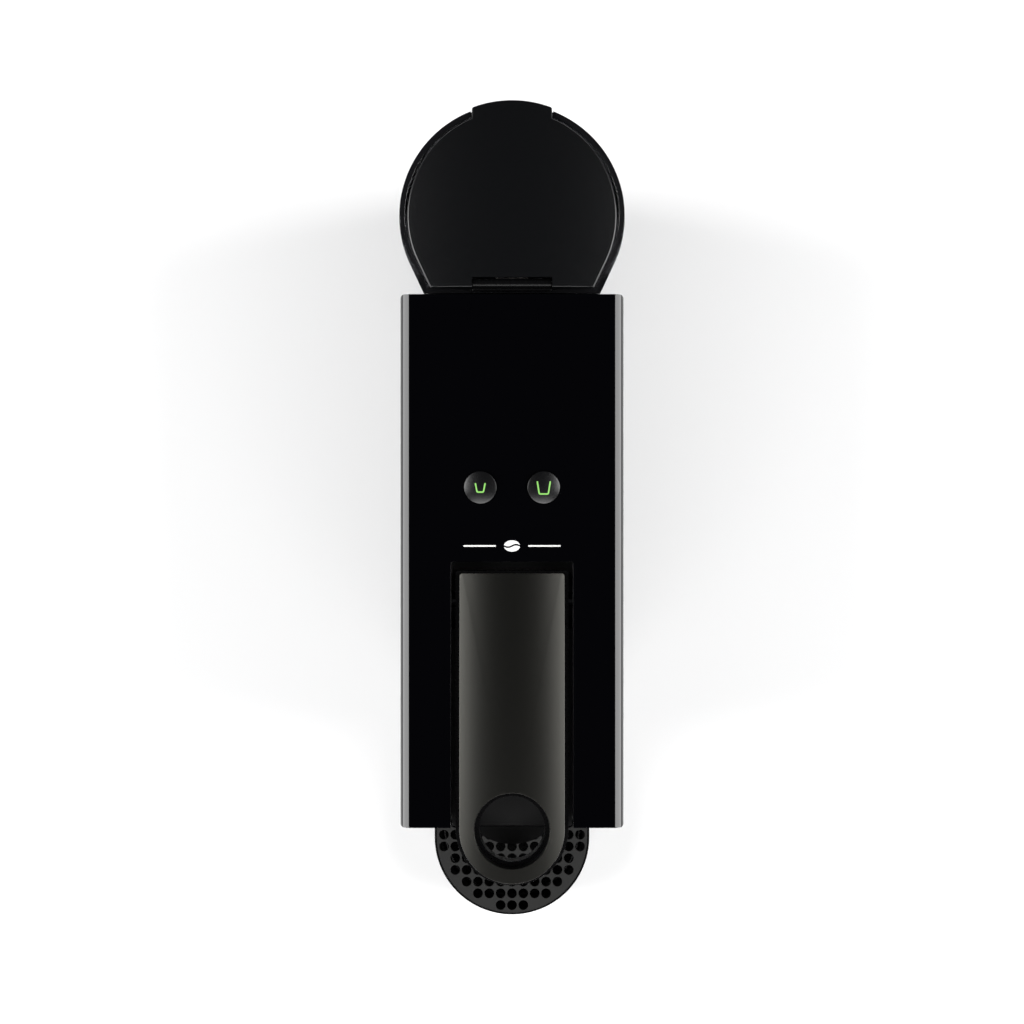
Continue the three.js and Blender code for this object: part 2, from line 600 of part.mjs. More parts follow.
function rockerParts() {
  const shaft = joined(
    rodX(rocker.y, rocker.z, ROCKER.shaft, -SHAFT_HALF, SHAFT_HALF),
    bothSides((s) => shortArm(s, rocker, shortPin)),
  );

  const longArm = (s) =>
    joined(
      linkPlate(rocker, 5.2, forkPin, 3.4, ...plane(s, FORK_PLANE), 6),
      sideRod(s, forkPin.y, forkPin.z, 2, 9.9, 15, 12),
    );
  const fork = cut(
    joined(rodX(rocker.y, rocker.z, 5.2, -18, 18), bothSides(longArm)),
    rodX(rocker.y, rocker.z, ROCKER.shaft + 0.3, -40, 40),
  );
  return [piece("rocker_shaft", shaft, STEEL), piece("rocker_fork", fork, ALUMINIUM)];
}

// ---------------------------------------------------------------- water path
function waterPath() {
  const { x0, x1, y0, y1, z0, z1, inlet, outletY } = HEATER;
  const feed = turnedY(
    [[1, -29], [2.5, -29], [2.5, 8.6], [1.9, 8.6], [1.9, 15], [1, 15], [1, -29]],
    0, BREW_Z, 12,
  );
  const heater = cut(
    joined(
      box(x0, x1, y0, y1, z0, z1),
      ...[-14, 0, 14].map((x) => box(x - 2.5, x + 2.5, y0 + 16, y1 - 4, z1 - 1, z1 + 4)),
      rodZ(inlet.x, inlet.y, HOSE.nipple, z0 - 6, z0 + 1, 10),
      rodZ(0, outletY, HOSE.nipple, z1 - 1, z1 + 6, 10),
      rodZ(-17, y0 + 12, 3, z1 - 1, z1 + 8, 8),
      rodZ(17, y1 - 12, 3, z1 - 1, z1 + 8, 8),
    ),
    rodZ(inlet.x, inlet.y, HOSE.bore, z0 - 8, z0 + 10, 8),
    rodZ(0, outletY, HOSE.bore, z1 - 10, z1 + 8, 8),
  );
  const rise = { y: PUMP.front + 3, z: PUMP_Z + 12.6 };
  const pressure = [
    [0, rise.y, rise.z], [0, rise.y, 84], [inlet.x, inlet.y, 94], [inlet.x, inlet.y, z0 - GAP],
  ];
  const outlet = [[0, outletY, z1 + GAP], [0, outletY, BREW_Z], [0, 9.5, BREW_Z]];
  return [
    piece("feed_tube", feed, STEEL),
    piece("thermoblock", heater, ALUMINIUM),
    piece("pressure_tube", hose(pressure, 20), SILICONE),
    piece("brew_hose", hose(outlet, 12), SILICONE),
  ];
}

function pump() {
  const { front, back } = PUMP;
  const nippleTop = PUMP_Z + 17;
  const elbow = (y) => rodZ(0, y, HOSE.nipple, PUMP_Z + 2, nippleTop, 10);
  const elbowBore = (y) => rodZ(0, y, HOSE.bore, PUMP_Z, nippleTop + 1, 8);
  const barrel = turnedY(
    [
      [0, front], [5, front], [5, front + 5], [12, front + 5], [12, 10], [9, 10], [9, 65], [12, 65],
      [12, 72], [5, 72], [5, back], [0, back],
    ],
    0, PUMP_Z,
  );
  const chamber = turnedY(
    [
      [0, front + 2], [1.6, front + 2], [1.6, 4], [5, 4], [5, 64], [1.6, 64], [1.6, back - 2],
      [0, back - 2],
    ],
    0, PUMP_Z,
  );
  const [outletY, inletY] = [front + 3, back - 3];
  const barrelWithElbows = joined(barrel, elbow(outletY), elbow(inletY));
  const body = cut(barrelWithElbows, chamber, elbowBore(outletY), elbowBore(inletY));
  const coil = cut(
    prismY(roundedRect(-19, 19, PUMP_Z - 18, PUMP_Z + 18, 4), 12, 63, 2),
    rodY(0, PUMP_Z, 9.4, 0, 80, 20),
  );
  const mount = (y0, y1) =>
    cut(
      prismY(roundedRect(-20, 20, BASE.top + GAP, PUMP_Z + 20, 5), y0, y1, 2),
      rodY(0, PUMP_Z, 12.4, y0 - 1, y1 + 1, 20),
    );
  const piston = turnedY([[1.2, 20], [4.6, 20], [4.6, 50], [1.2, 50], [1.2, 20]], 0, PUMP_Z, 14);
  return [
    piece("pump_body", body, NATURAL_PLASTIC),
    piece("pump_coil", coil, STEEL),
    piece("pump_mount_front", mount(-5.6, 4.4), RUBBER),
    piece("pump_mount_rear", mount(66, 71), RUBBER),
    piece("pump_piston", piston, STEEL),
  ];
}

function flowmeter() {
  const { x, y, bottom, top, radius, outletY } = FLOW;
  const middle = bottom + 7;
  const outletX = x - radius - 8;
  const housing = cut(
    joined(
      rodZ(x, y, radius, bottom, top, 24),
      rodZ(x, y, HOSE.nipple, bottom - 7, bottom + 1, 10),
      rodX(outletY, middle, HOSE.nipple, outletX, x - radius + 3, 10),
    ),
    rodZ(x, y, radius - 2, bottom + 2, top + 1, 24),
    rodZ(x, y, HOSE.bore, bottom - 9, bottom + 4, 8),
    rodX(outletY, middle, HOSE.bore, outletX - 2, x - radius + 5, 8),
  );
  const lid = joined(rodZ(x, y, radius, top + GAP, top + 2.6, 24), rodZ(x, y, 1, top - 8, top + 1, 8));
  const blades = [0, 1].map((i) =>
    solid(new THREE.BoxGeometry(18, 1, 7).rotateZ((i * Math.PI) / 2).translate(x, y, bottom + 8.3)),
  );
  const impeller = cut(
    joined(rodZ(x, y, 2.6, bottom + 4.6, bottom + 12, 12), ...blades),
    rodZ(x, y, 1.4, 60, 100, 10),
  );
  const pumpInlet = PUMP.back - 3;
  const suction = [
    [HOSE_HOLE.x, 89.6, HOSE_HOLE.z], [HOSE_HOLE.x, 76, HOSE_HOLE.z], [x + 2, y, 42], [x, y, 60],
    [x, y, bottom - GAP],
  ];
  const inlet = [
    [0, pumpInlet, PUMP_Z + 12.6], [0, pumpInlet, 60], [-7, pumpInlet, 70], [-4, pumpInlet, middle],
    [x - radius - 0.6, pumpInlet, middle],
  ];
  return [
    piece("flowmeter_body", housing, NATURAL_PLASTIC),
    piece("flowmeter_cover", lid, NATURAL_PLASTIC),
    piece("flowmeter_impeller", impeller, NATURAL_PLASTIC),
    piece("suction_hose", hose(suction, 22), SILICONE),
    piece("pump_inlet_hose", hose(inlet, 20), SILICONE),
  ];
}

// ---------------------------------------------------------------- controls
function buttons() {
  const { stem, radius, top, flange } = BUTTON;
  const [flangeTop, flangeUnder, stemEnd] = [196.6, 194.6, 186.4];
  const profile = [
    [0, stemEnd], [stem, stemEnd], [stem, flangeUnder], [flange, flangeUnder], [flange, flangeTop],
    [radius, flangeTop], [radius, top - 1.3], [radius - 0.4, top - 0.9], [3, top - 0.25], [0, top],
  ];
  const names = { "-1": "espresso", 1: "lungo" };
  return [-1, 1].flatMap((side) => {
    const button = piece(`${names[side]}_button`, turnedZ(profile), GLOSS_BLACK);
    const coil = piece(`${names[side]}_button_spring`, spring(0, 0, 189.5, 194.3, 4.2, 0.35, 3.5), STEEL);
    const both = group(button, coil);
    both.position.set(side * BUTTON.x, BUTTON.y, 0);
    return both;
  });
}

function boards() {
  const guide = cut(
    prismZ(roundedRect(-26, 26, 9, 35, 3), 187.6, 189.2, 2),
    bothSides((s) => rodZ(s * BUTTON.x, BUTTON.y, BUTTON.stem + 0.4, 180, 200, 14)),
  );
  const control = joined(
    box(-26, 26, 8, 38, 181.6, 183.2),
    bothSides((s) => joined(
      box(s * BUTTON.x - 3, s * BUTTON.x + 3, BUTTON.y - 3, BUTTON.y + 3, 183, 184.4),
      rodZ(s * BUTTON.x, BUTTON.y, 1.6, 184, 185, 8),
    )),
    box(-6, 6, 28, 34, 183, 185),
  );
  const power = joined(
    box(-35.4, -33.8, 5, 80, 62, 108),
    box(-34.5, -18, 12, 32, 68, 88),
    rodX(44, 78, 6, -34.5, -20, 14),
    box(-34.5, -26, 58, 74, 66, 82),
    box(-34.5, -25.2, 40, 51.5, 92, 104),
  );
  return [
    piece("button_guide", guide, MATT_BLACK),
    piece("control_board", control, GREEN_BOARD),
    piece("power_board", power, GREEN_BOARD),
  ];
}

// ---------------------------------------------------------------- water tank and its dock
function tankDock() {
  const top = TANK.bottom - 0.4;
  const shell = cut(
    prismZ(dockOutline(2), BASE.top + GAP, top, 12),
    prismZ(dockOutline(4.5), BASE.top - 1, top - 2.6, 12),
    box(-40, 40, 90, TANK.face, 0, 30),
  );
  const socket = cut(
    joined(
      shell,
      rodZ(0, VALVE.y, 10.5, BASE.top + GAP, top - 1, 20),
      box(HOSE_HOLE.x - 12, HOSE_HOLE.x - 3, TANK.face, 100, 11, 19),
      box(HOSE_HOLE.x - 6, HOSE_HOLE.x + 3.4, TANK.face, TANK.face + 3, 11, 19),
      rodY(HOSE_HOLE.x, HOSE_HOLE.z, HOSE.nipple, 82, TANK.face + 1, 10),
    ),
    rodZ(0, VALVE.y, 7.6, 10, 30, 20),
  );
  const pin = rodZ(0, VALVE.y, 1.4, 9, 14.7, 10);
  const seal = solid(new THREE.TorusGeometry(6.7, 0.75, 6, 20).translate(0, VALVE.y, 17));
  return [piece("tank_dock", joined(socket, pin), MATT_BLACK), piece("dock_seal", seal, RUBBER)];
}

function tank() {
  const shell = cut(
    taperedTank(0, TANK.bottom, TANK.rim),
    taperedTank(TANK.wall, TANK.bottom + 2.6, TANK.rim + 1),
    box(-40, 40, 90, LID_PIN.y + 3.4, 193.4, 200),
    box(-LID.tabHalf - 0.4, LID.tabHalf + 0.4, 150, 170, 194.6, 200),
    rodZ(0, VALVE.y, VALVE.neck + 0.3, 15, 30),
  );
  const knuckle = cut(
    joined(
      box(-14.6, 14.6, TANK.face + 0.6, LID_PIN.y + 0.6, 191, LID_PIN.z),
      rodX(LID_PIN.y, LID_PIN.z, LID_PIN.barrel, -14.6, 14.6, 14),
    ),
    rodX(LID_PIN.y, LID_PIN.z, LID_PIN.bore, -20, 20, 10),
  );
  const tankBody = piece("water_tank", joined(shell, knuckle), SMOKE_CLEAR);

  const valve = turnedZ(
    [
      [3.5, 14], [VALVE.neck, 14], [VALVE.neck, 23.2], [9, 23.2], [9, 25.2], [1.8, 25.2],
      [1.8, 21], [3.5, 21], [3.5, 14],
    ],
    0, VALVE.y,
  );
  const poppet = turnedZ(
    [[0, 15], [3, 15], [3, 15.5], [1.3, 15.5], [1.3, 26.7], [3.2, 26.7], [3.2, 28], [1.5, 29], [0, 29]],
    0, VALVE.y, 14,
  );
  const coil = spring(0, VALVE.y, 15.8, 20.7, 2.5, 0.3, 4);
  const pin = rodX(LID_PIN.y, LID_PIN.z, LID_PIN.radius, -LID_PIN.half, LID_PIN.half, 10);
  return [
    tankBody,
    piece("tank_valve_body", valve, NATURAL_PLASTIC),
    piece("tank_valve_poppet", poppet, NATURAL_PLASTIC),
    piece("tank_valve_spring", coil, STEEL),
    piece("lid_hinge_pin", pin, STEEL),
    tankLid(),
  ];
}

function tankLid() {
  const vault = underVault(TANK.radius, LID.drop, LID.top, 190, 90, 170);
  const ring = TANK.radius + 0.6;
  const tab = new THREE.Shape();
  const tabAngle = Math.acos(LID.tabHalf / ring);
  tab.moveTo(-LID.tabHalf, 150);
  tab.lineTo(LID.tabHalf, 150);
  tab.absarc(0, LID.back - ring, ring, tabAngle, Math.PI - tabAngle);
  tab.closePath();
  const plate = joined(
    prismZ(tankOutline(LID.inset, LID.front - TANK.face), LID.under, 203, 16),
    prismZ(tab, 195.2, 203, 4),
  ).intersect(vault);
  const skirt = cut(
    prismZ(tankOutline(3.5), 192.4, LID.under + 0.5, 16),
    prismZ(tankOutline(5), 190, LID.under, 16),
    box(-50, 50, 80, LID_PIN.y + 5, 190, LID.under),
  );
  const ears = bothSides((s) => sideRod(s, LID_PIN.y, LID_PIN.z, LID_PIN.barrel, 15.1, 22.5, 14));
  const lid = cut(
    joined(plate, skirt, ears),
    box(-LID.tabHalf, LID.tabHalf, 90, LID_PIN.y + 2.4, 190, 205),
    rodX(LID_PIN.y, LID_PIN.z, LID_PIN.bore, -23, 23, 10),
  );
  return piece("tank_lid", lid, MATT_BLACK);
}

// ---------------------------------------------------------------- pod bin and drip tray
function podBin() {
  const { half: outer, front, back, bottom, top, wall, corner } = BIN;
  const inner = outer - wall;
  const bin = cut(
    joined(
      prismZ(roundedRect(-outer, outer, front, back, corner), bottom, top, 3),
      box(-TONGUE.half, TONGUE.half, front, front + wall, TONGUE.bottom, bottom + 1),
      prismZ(tongueOutline(TONGUE.half, TRAY.y, front + 1), TONGUE.bottom, TONGUE.top, 8),
    ),
    prismZ(roundedRect(-inner, inner, front + wall, back - wall, corner / 2), bottom + wall, top + 1, 2),
  );
  return piece("capsule_container", bin, MATT_BLACK);
}

function dripTray() {
  const plan = (inset) => tongueOutline(TRAY.radius - inset, TRAY.y, TRAY.back - inset);
  const tray = cut(
    prismZ(plan(0), TRAY.bottom, TRAY.rim, 14),
    prismZ(plan(TRAY.wall), TRAY.bottom + TRAY.wall, TRAY.rim + 1, 14),
    prismZ(plan(TRAY.radius - GRID.radius - 0.2), TRAY.ledge, TRAY.rim + 1, 14),
  );
  const holes = GRID_ROWS.flatMap((reach, row) =>
    Array.from({ length: 2 * reach + 1 }, (_, i) =>
      rodZ((i - reach) * GRID.pitchX, GRID.front + row * GRID.pitchY, GRID.hole, 30, 50, 8),
    ),
  );
  const inset = TRAY.radius - GRID.radius;
  const grid = prismZ(plan(inset), GRID.bottom, GRID.top, 14).subtract(wasm.Manifold.union(holes));
  return [piece("drip_tray", tray, MATT_BLACK), piece("drip_grid", grid, SATIN_GREY)];
}

// ---------------------------------------------------------------- the machine
const machine = group(
  group(casing(), basePlate(), ...feet(), ...rearPanel(), cordGland(), ...headUnderside()),
  group(outletCowl(), coffeeSpout(), leverChannel()),
  group(...lever(), ...pullLinks()),
  group(brewFrame(), extractionPlate(), ...capsuleCage(), ...rockerParts()),
  group(...waterPath(), ...pump(), ...flowmeter()),
  group(...buttons(), ...boards()),
  group(...tankDock(), ...tank()),
  group(podBin(), ...dripTray()),
);

export default machine;
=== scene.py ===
"""The looks of a slim pod coffee machine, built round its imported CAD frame.

Metres, +Z up, the front towards -Y. Visible shells are rebuilt here with finer curves and softened
edges; hidden and inner parts keep their CAD shape and get a finish.
"""

import json
import logging
import math
from dataclasses import dataclass, field
from enum import Enum

import bmesh
import bpy
import numpy as np
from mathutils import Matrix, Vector


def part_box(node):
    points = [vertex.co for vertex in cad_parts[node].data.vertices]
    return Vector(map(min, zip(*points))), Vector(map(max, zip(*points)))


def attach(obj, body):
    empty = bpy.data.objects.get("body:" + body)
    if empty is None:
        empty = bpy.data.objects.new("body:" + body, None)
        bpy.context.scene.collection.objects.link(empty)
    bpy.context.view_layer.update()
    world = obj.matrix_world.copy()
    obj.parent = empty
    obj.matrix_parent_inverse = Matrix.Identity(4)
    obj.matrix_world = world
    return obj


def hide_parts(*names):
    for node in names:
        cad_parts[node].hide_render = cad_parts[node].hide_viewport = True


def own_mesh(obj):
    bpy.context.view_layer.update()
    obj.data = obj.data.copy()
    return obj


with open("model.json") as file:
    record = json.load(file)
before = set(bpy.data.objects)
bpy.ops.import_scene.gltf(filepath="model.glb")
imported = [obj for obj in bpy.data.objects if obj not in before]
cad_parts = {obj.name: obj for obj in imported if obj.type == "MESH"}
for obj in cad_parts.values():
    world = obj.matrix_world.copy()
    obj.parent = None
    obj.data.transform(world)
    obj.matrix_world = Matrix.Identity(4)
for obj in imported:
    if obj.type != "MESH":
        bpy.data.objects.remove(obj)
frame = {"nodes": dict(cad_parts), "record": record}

log = logging.getLogger("pod_coffee_machine")

Piece = bpy.types.Object
Points = np.ndarray
Pair = tuple[float, float]
Colour = tuple[float, float, float, float]

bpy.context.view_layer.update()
MM = 0.001
SKY = 0.3  # above the whole machine, where cuts from above end
DECK = 0.19  # inside, below the top wall, where cuts from above start
ASIDE = 0.06  # beyond both sides, where cuts from side to side end


# ---- colours and finishes
def tone(red: float, green: float, blue: float) -> Colour:
    """A screen colour as linear light.

    Args:
        red: Red from 0 to 255; green and blue likewise.

    Returns:
        Linear red, green, blue and an alpha of 1.
    """
    screen = np.array([red, green, blue]) / 255.0
    linear = np.where(screen <= 0.04045, screen / 12.92, ((screen + 0.055) / 1.055) ** 2.4)
    return (*linear.tolist(), 1.0)


class Slot(Enum):
    """The record's material slots."""

    SHELL = "gloss_black_shell"
    MATT = "matt_black_plastic"
    SATIN = "satin_grey_plastic"
    SMOKE = "smoke_clear_plastic"
    RUBBER = "black_rubber"
    STEEL = "steel"
    ALUMINIUM = "aluminium"
    NATURAL = "natural_plastic"
    BOARD = "circuit_board"
    SILICONE = "silicone"


NOISE_LOW, NOISE_HIGH = 0.3, 0.7  # where most of a noise texture's values lie


@dataclass(frozen=True)
class Finish:
    """A moulded, cast or drawn surface: colour with a slow mottle, and a fine grain.

    The grain drives both a small bump and the roughness, so a worn or textured spot scatters more.
    """

    name: str
    colour: Colour
    roughness: float
    metallic: float = 0.0
    mottle: float = 0.06
    mottle_scale: float = 18.0
    grain_scale: float = 900.0
    grain_depth: float = 2e-5
    roughness_spread: float = 0.04
    stretch: tuple[float, float, float] = (1.0, 1.0, 1.0)
    specular: float = 0.5
    specular_tint: Colour = (1.0, 1.0, 1.0, 1.0)
    transmission: float = 0.0
    glow: float = 0.0
    glow_colour: Colour = (0.0, 0.0, 0.0, 1.0)

    def material(self) -> bpy.types.Material:
        """The finish's node material, made once and shared."""
        found = bpy.data.materials.get(self.name)
        return found if found else self._made()

    def _made(self) -> bpy.types.Material:
        """Builds the nodes: two noises on Object coordinates feed colour, roughness and bump."""
        material = bpy.data.materials.new(self.name)
        material.use_nodes = True
        nodes, links = material.node_tree.nodes, material.node_tree.links
        shader = nodes["Principled BSDF"]
        where = nodes.new("ShaderNodeTexCoord")
        mapping = nodes.new("ShaderNodeMapping")
        mapping.inputs["Scale"].default_value = self.stretch
        links.new(where.outputs["Object"], mapping.inputs["Vector"])

        slow = self._noise(nodes, links, mapping, self.mottle_scale, 3.0)
        blend = nodes.new("ShaderNodeMix")
        blend.data_type = "RGBA"
        colour = np.array(self.colour[:3])
        blend.inputs["A"].default_value = (*(colour * (1 - self.mottle)).tolist(), 1.0)
        blend.inputs["B"].default_value = (*(colour * (1 + self.mottle)).tolist(), 1.0)
        links.new(slow.outputs["Fac"], blend.inputs["Factor"])
        links.new(blend.outputs["Result"], shader.inputs["Base Color"])

        fine = self._noise(nodes, links, mapping, self.grain_scale, 2.0)
        spread = nodes.new("ShaderNodeMapRange")
        spread.inputs["From Min"].default_value = NOISE_LOW
        spread.inputs["From Max"].default_value = NOISE_HIGH
        spread.inputs["To Min"].default_value = max(self.roughness - self.roughness_spread, 0.0)
        spread.inputs["To Max"].default_value = self.roughness + self.roughness_spread
        links.new(fine.outputs["Fac"], spread.inputs["Value"])
        links.new(spread.outputs["Result"], shader.inputs["Roughness"])

        bump = nodes.new("ShaderNodeBump")
        bump.inputs["Distance"].default_value = self.grain_depth
        bump.inputs["Strength"].default_value = 1.0
        links.new(fine.outputs["Fac"], bump.inputs["Height"])
        links.new(bump.outputs["Normal"], shader.inputs["Normal"])

        shader.inputs["Metallic"].default_value = self.metallic
        shader.inputs["Specular IOR Level"].default_value = self.specular
        shader.inputs["Specular Tint"].default_value = self.specular_tint
        shader.inputs["Transmission Weight"].default_value = self.transmission
        if self.glow:
            shader.inputs["Emission Color"].default_value = self.glow_colour
            shader.inputs["Emission Strength"].default_value = self.glow
        return material

    @staticmethod
    def _noise(nodes, links, mapping, scale: float, detail: float):
        """A noise texture that reads the finish's mapping."""
        noise = nodes.new("ShaderNodeTexNoise")
        noise.inputs["Scale"].default_value = scale
        noise.inputs["Detail"].default_value = detail
        links.new(mapping.outputs["Vector"], noise.inputs["Vector"])
        return noise


PIANO_BLACK = Finish("piano_black", tone(2, 2, 3), 0.05, mottle=0.1, grain_scale=260.0,
                     grain_depth=3e-7, roughness_spread=0.006, specular=0.4)
MATT_BLACK = Finish("matt_black_moulding", tone(5, 5, 5.5), 0.4, grain_scale=1500.0, grain_depth=8e-6,
                    roughness_spread=0.03, specular=0.26)
# A darker, less reflective copy of the matt black, used on the lever frame, the hinge bracket and the drip tray.
# This is painted shade: it makes the frame's ledge in the finger hole read as shaded by the cover.
BLACK_WITH_PAINTED_SHADE = Finish("matt_black_with_painted_shade", tone(4, 4, 4.5), 0.28, grain_scale=1500.0, grain_depth=4e-6,
                    roughness_spread=0.02, specular=0.16)
LID_BLACK = Finish("lid_black_satin", tone(3.5, 4, 5), 0.25, grain_scale=1900.0, grain_depth=2e-6,
                   roughness_spread=0.015, specular=0.44)
BUTTON_SATIN = Finish("button_black_satin", tone(5, 5, 6), 0.26, grain_scale=2400.0, grain_depth=2e-6,
                      roughness_spread=0.015, specular=0.42)
LEVER_GREY = Finish("lever_grey_satin", tone(4, 4, 3.5), 0.3, grain_scale=1700.0, grain_depth=1.2e-6,
                    roughness_spread=0.012, specular=0.36, specular_tint=(1.0, 0.985, 0.9, 1.0))
GRID_GREY = Finish("grid_grey_satin", tone(15, 15, 14), 0.4, grain_scale=1600.0, grain_depth=8e-6,
                   specular=0.35)
SMOKE_TINTED = Finish("smoke_tinted_tank", tone(62, 62, 65), 0.05, mottle=0.03, grain_scale=60.0,
                     grain_depth=5e-7, roughness_spread=0.01, transmission=0.9, specular=0.4)
BLACKED_STEEL = Finish("blackened_steel", tone(14, 14, 15), 0.38, metallic=1.0, grain_scale=500.0,
                       grain_depth=3e-6)
SOFT_RUBBER = Finish("black_rubber_foot", tone(14, 14, 14), 0.8, grain_scale=1200.0, grain_depth=4e-5)
BRIGHT_STEEL = Finish("bright_steel", tone(190, 190, 188), 0.25, metallic=1.0, stretch=(1.0, 12.0, 12.0),
                      grain_scale=400.0, grain_depth=6e-6)
CAST_ALUMINIUM = Finish("cast_aluminium", tone(176, 178, 182), 0.45, metallic=1.0, mottle=0.12,
                        grain_scale=700.0, grain_depth=5e-5)
NATURAL_ACETAL = Finish("natural_acetal", tone(196, 192, 180), 0.45)
SOLDER_MASK = Finish("solder_mask_green", tone(24, 80, 44), 0.35, mottle=0.25, mottle_scale=240.0)
MILKY_SILICONE = Finish("milky_silicone", tone(206, 206, 200), 0.4, mottle=0.04, transmission=0.25)
PRINTED_WHITE = Finish("printed_white", tone(205, 205, 203), 0.5, mottle=0.04, mottle_scale=300.0)
LIT_GREEN = Finish("lit_green_symbol", tone(46, 74, 34), 0.5, mottle=0.04, mottle_scale=300.0, glow=0.8,
                   glow_colour=tone(152, 232, 104))

SLOT_FINISH = {
    Slot.SHELL: PIANO_BLACK,
    Slot.MATT: MATT_BLACK,
    Slot.SATIN: LEVER_GREY,
    Slot.SMOKE: SMOKE_TINTED,
    Slot.RUBBER: SOFT_RUBBER,
    Slot.STEEL: BRIGHT_STEEL,
    Slot.ALUMINIUM: CAST_ALUMINIUM,
    Slot.NATURAL: NATURAL_ACETAL,
    Slot.BOARD: SOLDER_MASK,
    Slot.SILICONE: MILKY_SILICONE,
}


# ---- outlines
def compass(angle: Points) -> Points:
    """Rows of cos a, sin a."""
    return np.column_stack([np.cos(angle), np.sin(angle)])


def arc(centre: Pair, radius: float, start: float, end: float, steps: int) -> Points:
    """Points along a circular arc.

    Args:
        centre: The arc's centre.
        radius: Its radius.
        start: First angle in degrees from the first axis; end is the last.
        steps: How many chords the arc gets.

    Returns:
        steps + 1 points, centre + radius * (cos a, sin a).
    """
    return np.add(centre, radius * compass(np.radians(np.linspace(start, end, steps + 1))))


def circle(centre: Pair, radius: float, sides: int) -> Points:
    """A closed circle of evenly spaced points."""
    return arc(centre, radius, 0, 360 - 360 / sides, sides - 1)


def rounded(corners: list[tuple[float, float, float]], steps: int = 8) -> Points:
    """A closed polygon with each corner replaced by a tangent arc.

    The arc's ends lie at radius * tan(turn / 2) from the corner, and its centre lies on the bisector.

    Args:
        corners: (a, b, radius) of each corner, in order.
        steps: Chords in each rounded corner.

    Returns:
        The outline's points.
    """
    points = np.array([c[:2] for c in corners], float)
    pieces = []
    for i, (_, _, radius) in enumerate(corners):
        here = points[i]
        back = points[i - 1] - here
        ahead = points[(i + 1) % len(points)] - here
        back /= np.linalg.norm(back)
        ahead /= np.linalg.norm(ahead)
        opening = math.acos(float(np.clip(back @ ahead, -1, 1)))
        if radius <= 0 or opening > math.pi - 1e-4:
            pieces.append(here[None])
            continue
        bisector = (back + ahead) / np.linalg.norm(back + ahead)
        centre = here + bisector * radius / math.sin(opening / 2)
        ends = (here + way * radius / math.tan(opening / 2) - centre for way in (back, ahead))
        a0, a1 = (math.degrees(math.atan2(end[1], end[0])) for end in ends)
        turn = (a1 - a0 + 180) % 360 - 180
        pieces.append(arc(tuple(centre), radius, a0, a0 + turn, steps))
    return np.vstack(pieces)


def rectangle(a0: float, a1: float, b0: float, b1: float, radius: float, steps: int = 8) -> Points:
    """A rectangle with rounded corners."""
    return rounded([(a0, b0, radius), (a1, b0, radius), (a1, b1, radius), (a0, b1, radius)], steps)


def band(half: float, b0: float, b1: float, radius: float = 0.0) -> Points:
    """A rectangle that runs from -half to half across."""
    return rectangle(-half, half, b0, b1, radius)


def tongue(radius: float, centre_y: float, back: float, corner: float = 0.0) -> Points:
    """A plan that ends in a half circle towards -Y and runs straight back to y = back."""
    front_steps, side_steps, rear_steps, corner_steps = 64, 41, 13, 8
    side = np.linspace(centre_y, back - corner, side_steps + 1)[1:-1]
    right = np.column_stack([np.full_like(side, radius), side])
    across = np.linspace(radius - corner, corner - radius, rear_steps + 1)[1:-1]
    return np.vstack([
        arc((0, centre_y), radius, 180, 360, front_steps),
        right,
        arc((radius - corner, back - corner), corner, 0, 90, corner_steps),
        np.column_stack([across, np.full_like(across, back)]),
        arc((corner - radius, back - corner), corner, 90, 180, corner_steps),
        right[::-1] * (-1, 1),
    ])


def lifted(plan: Points, height: float | Points) -> Points:
    """A plan as a ring in space, at one height or at one height for each point."""
    return np.column_stack([plan, np.broadcast_to(height, len(plan))])


def quarter(radius: float, count: int) -> Points:
    """Rows of r (1 - cos a), r (1 - sin a) for a from 0 to 90 degrees, which round an edge off."""
    return radius * (1 - compass(np.radians(np.linspace(0, 90, count))))


# ---- meshes
MERGE = 1e-7  # points of a new surface that are closer than this become one


def placed(name: str, data: bpy.types.ID) -> Piece:
    """A new object in the scene that shows some data."""
    item = bpy.data.objects.new(name, data)
    bpy.context.scene.collection.objects.link(item)
    return item


def closed_mesh(name: str, vertices: Points, faces: list) -> Piece:
    """A closed surface as a new object at the origin, its double points merged and its faces turned out.

    Args:
        name: The object's name.
        vertices: Points, one a row.
        faces: Vertex numbers of each face.

    Returns:
        The new object.
    """
    mesh = bpy.data.meshes.new(name)
    mesh.from_pydata(vertices.tolist(), [], faces)
    work = bmesh.new()
    work.from_mesh(mesh)
    bmesh.ops.remove_doubles(work, verts=work.verts, dist=MERGE)
    bmesh.ops.dissolve_degenerate(work, edges=work.edges, dist=MERGE)
    bmesh.ops.recalc_face_normals(work, faces=work.faces)
    work.to_mesh(mesh)
    work.free()
    return placed(name, mesh)


def stack(name: str, rings: Points, wrap: bool) -> Piece:
    """Quads between successive rings of points.

    Args:
        name: The object's name.
        rings: Array of rings by points by 3; every ring is a closed loop.
        wrap: Whether the last ring joins the first. If not, each end gets a flat cap.

    Returns:
        The new object.
    """
    count, around = rings.shape[:2]
    numbers = np.arange(count * around).reshape(count, around)
    if wrap:
        numbers = np.vstack([numbers, numbers[:1]])
    here, after = numbers[:-1], numbers[1:]
    quads = np.stack([here, np.roll(here, -1, 1), np.roll(after, -1, 1), after], axis=-1)
    faces = quads.reshape(-1, 4).tolist()
    if not wrap:
        faces += [numbers[0].tolist(), numbers[-1][::-1].tolist()]
    return closed_mesh(name, rings.reshape(-1, 3), faces)


class Axis(Enum):
    """The direction a prism runs along, as the order that its (a, b, along) takes."""

    X = (2, 0, 1)
    Y = (0, 2, 1)
    Z = (0, 1, 2)


def prism(name: str, outline: Points, low: float, high: float, axis: Axis = Axis.Z) -> Piece:
    """An outline carried straight along an axis: the point (a, b) runs from low to high."""
    rings = np.stack([lifted(outline, low), lifted(outline, high)])
    return stack(name, rings[..., list(axis.value)], wrap=False)


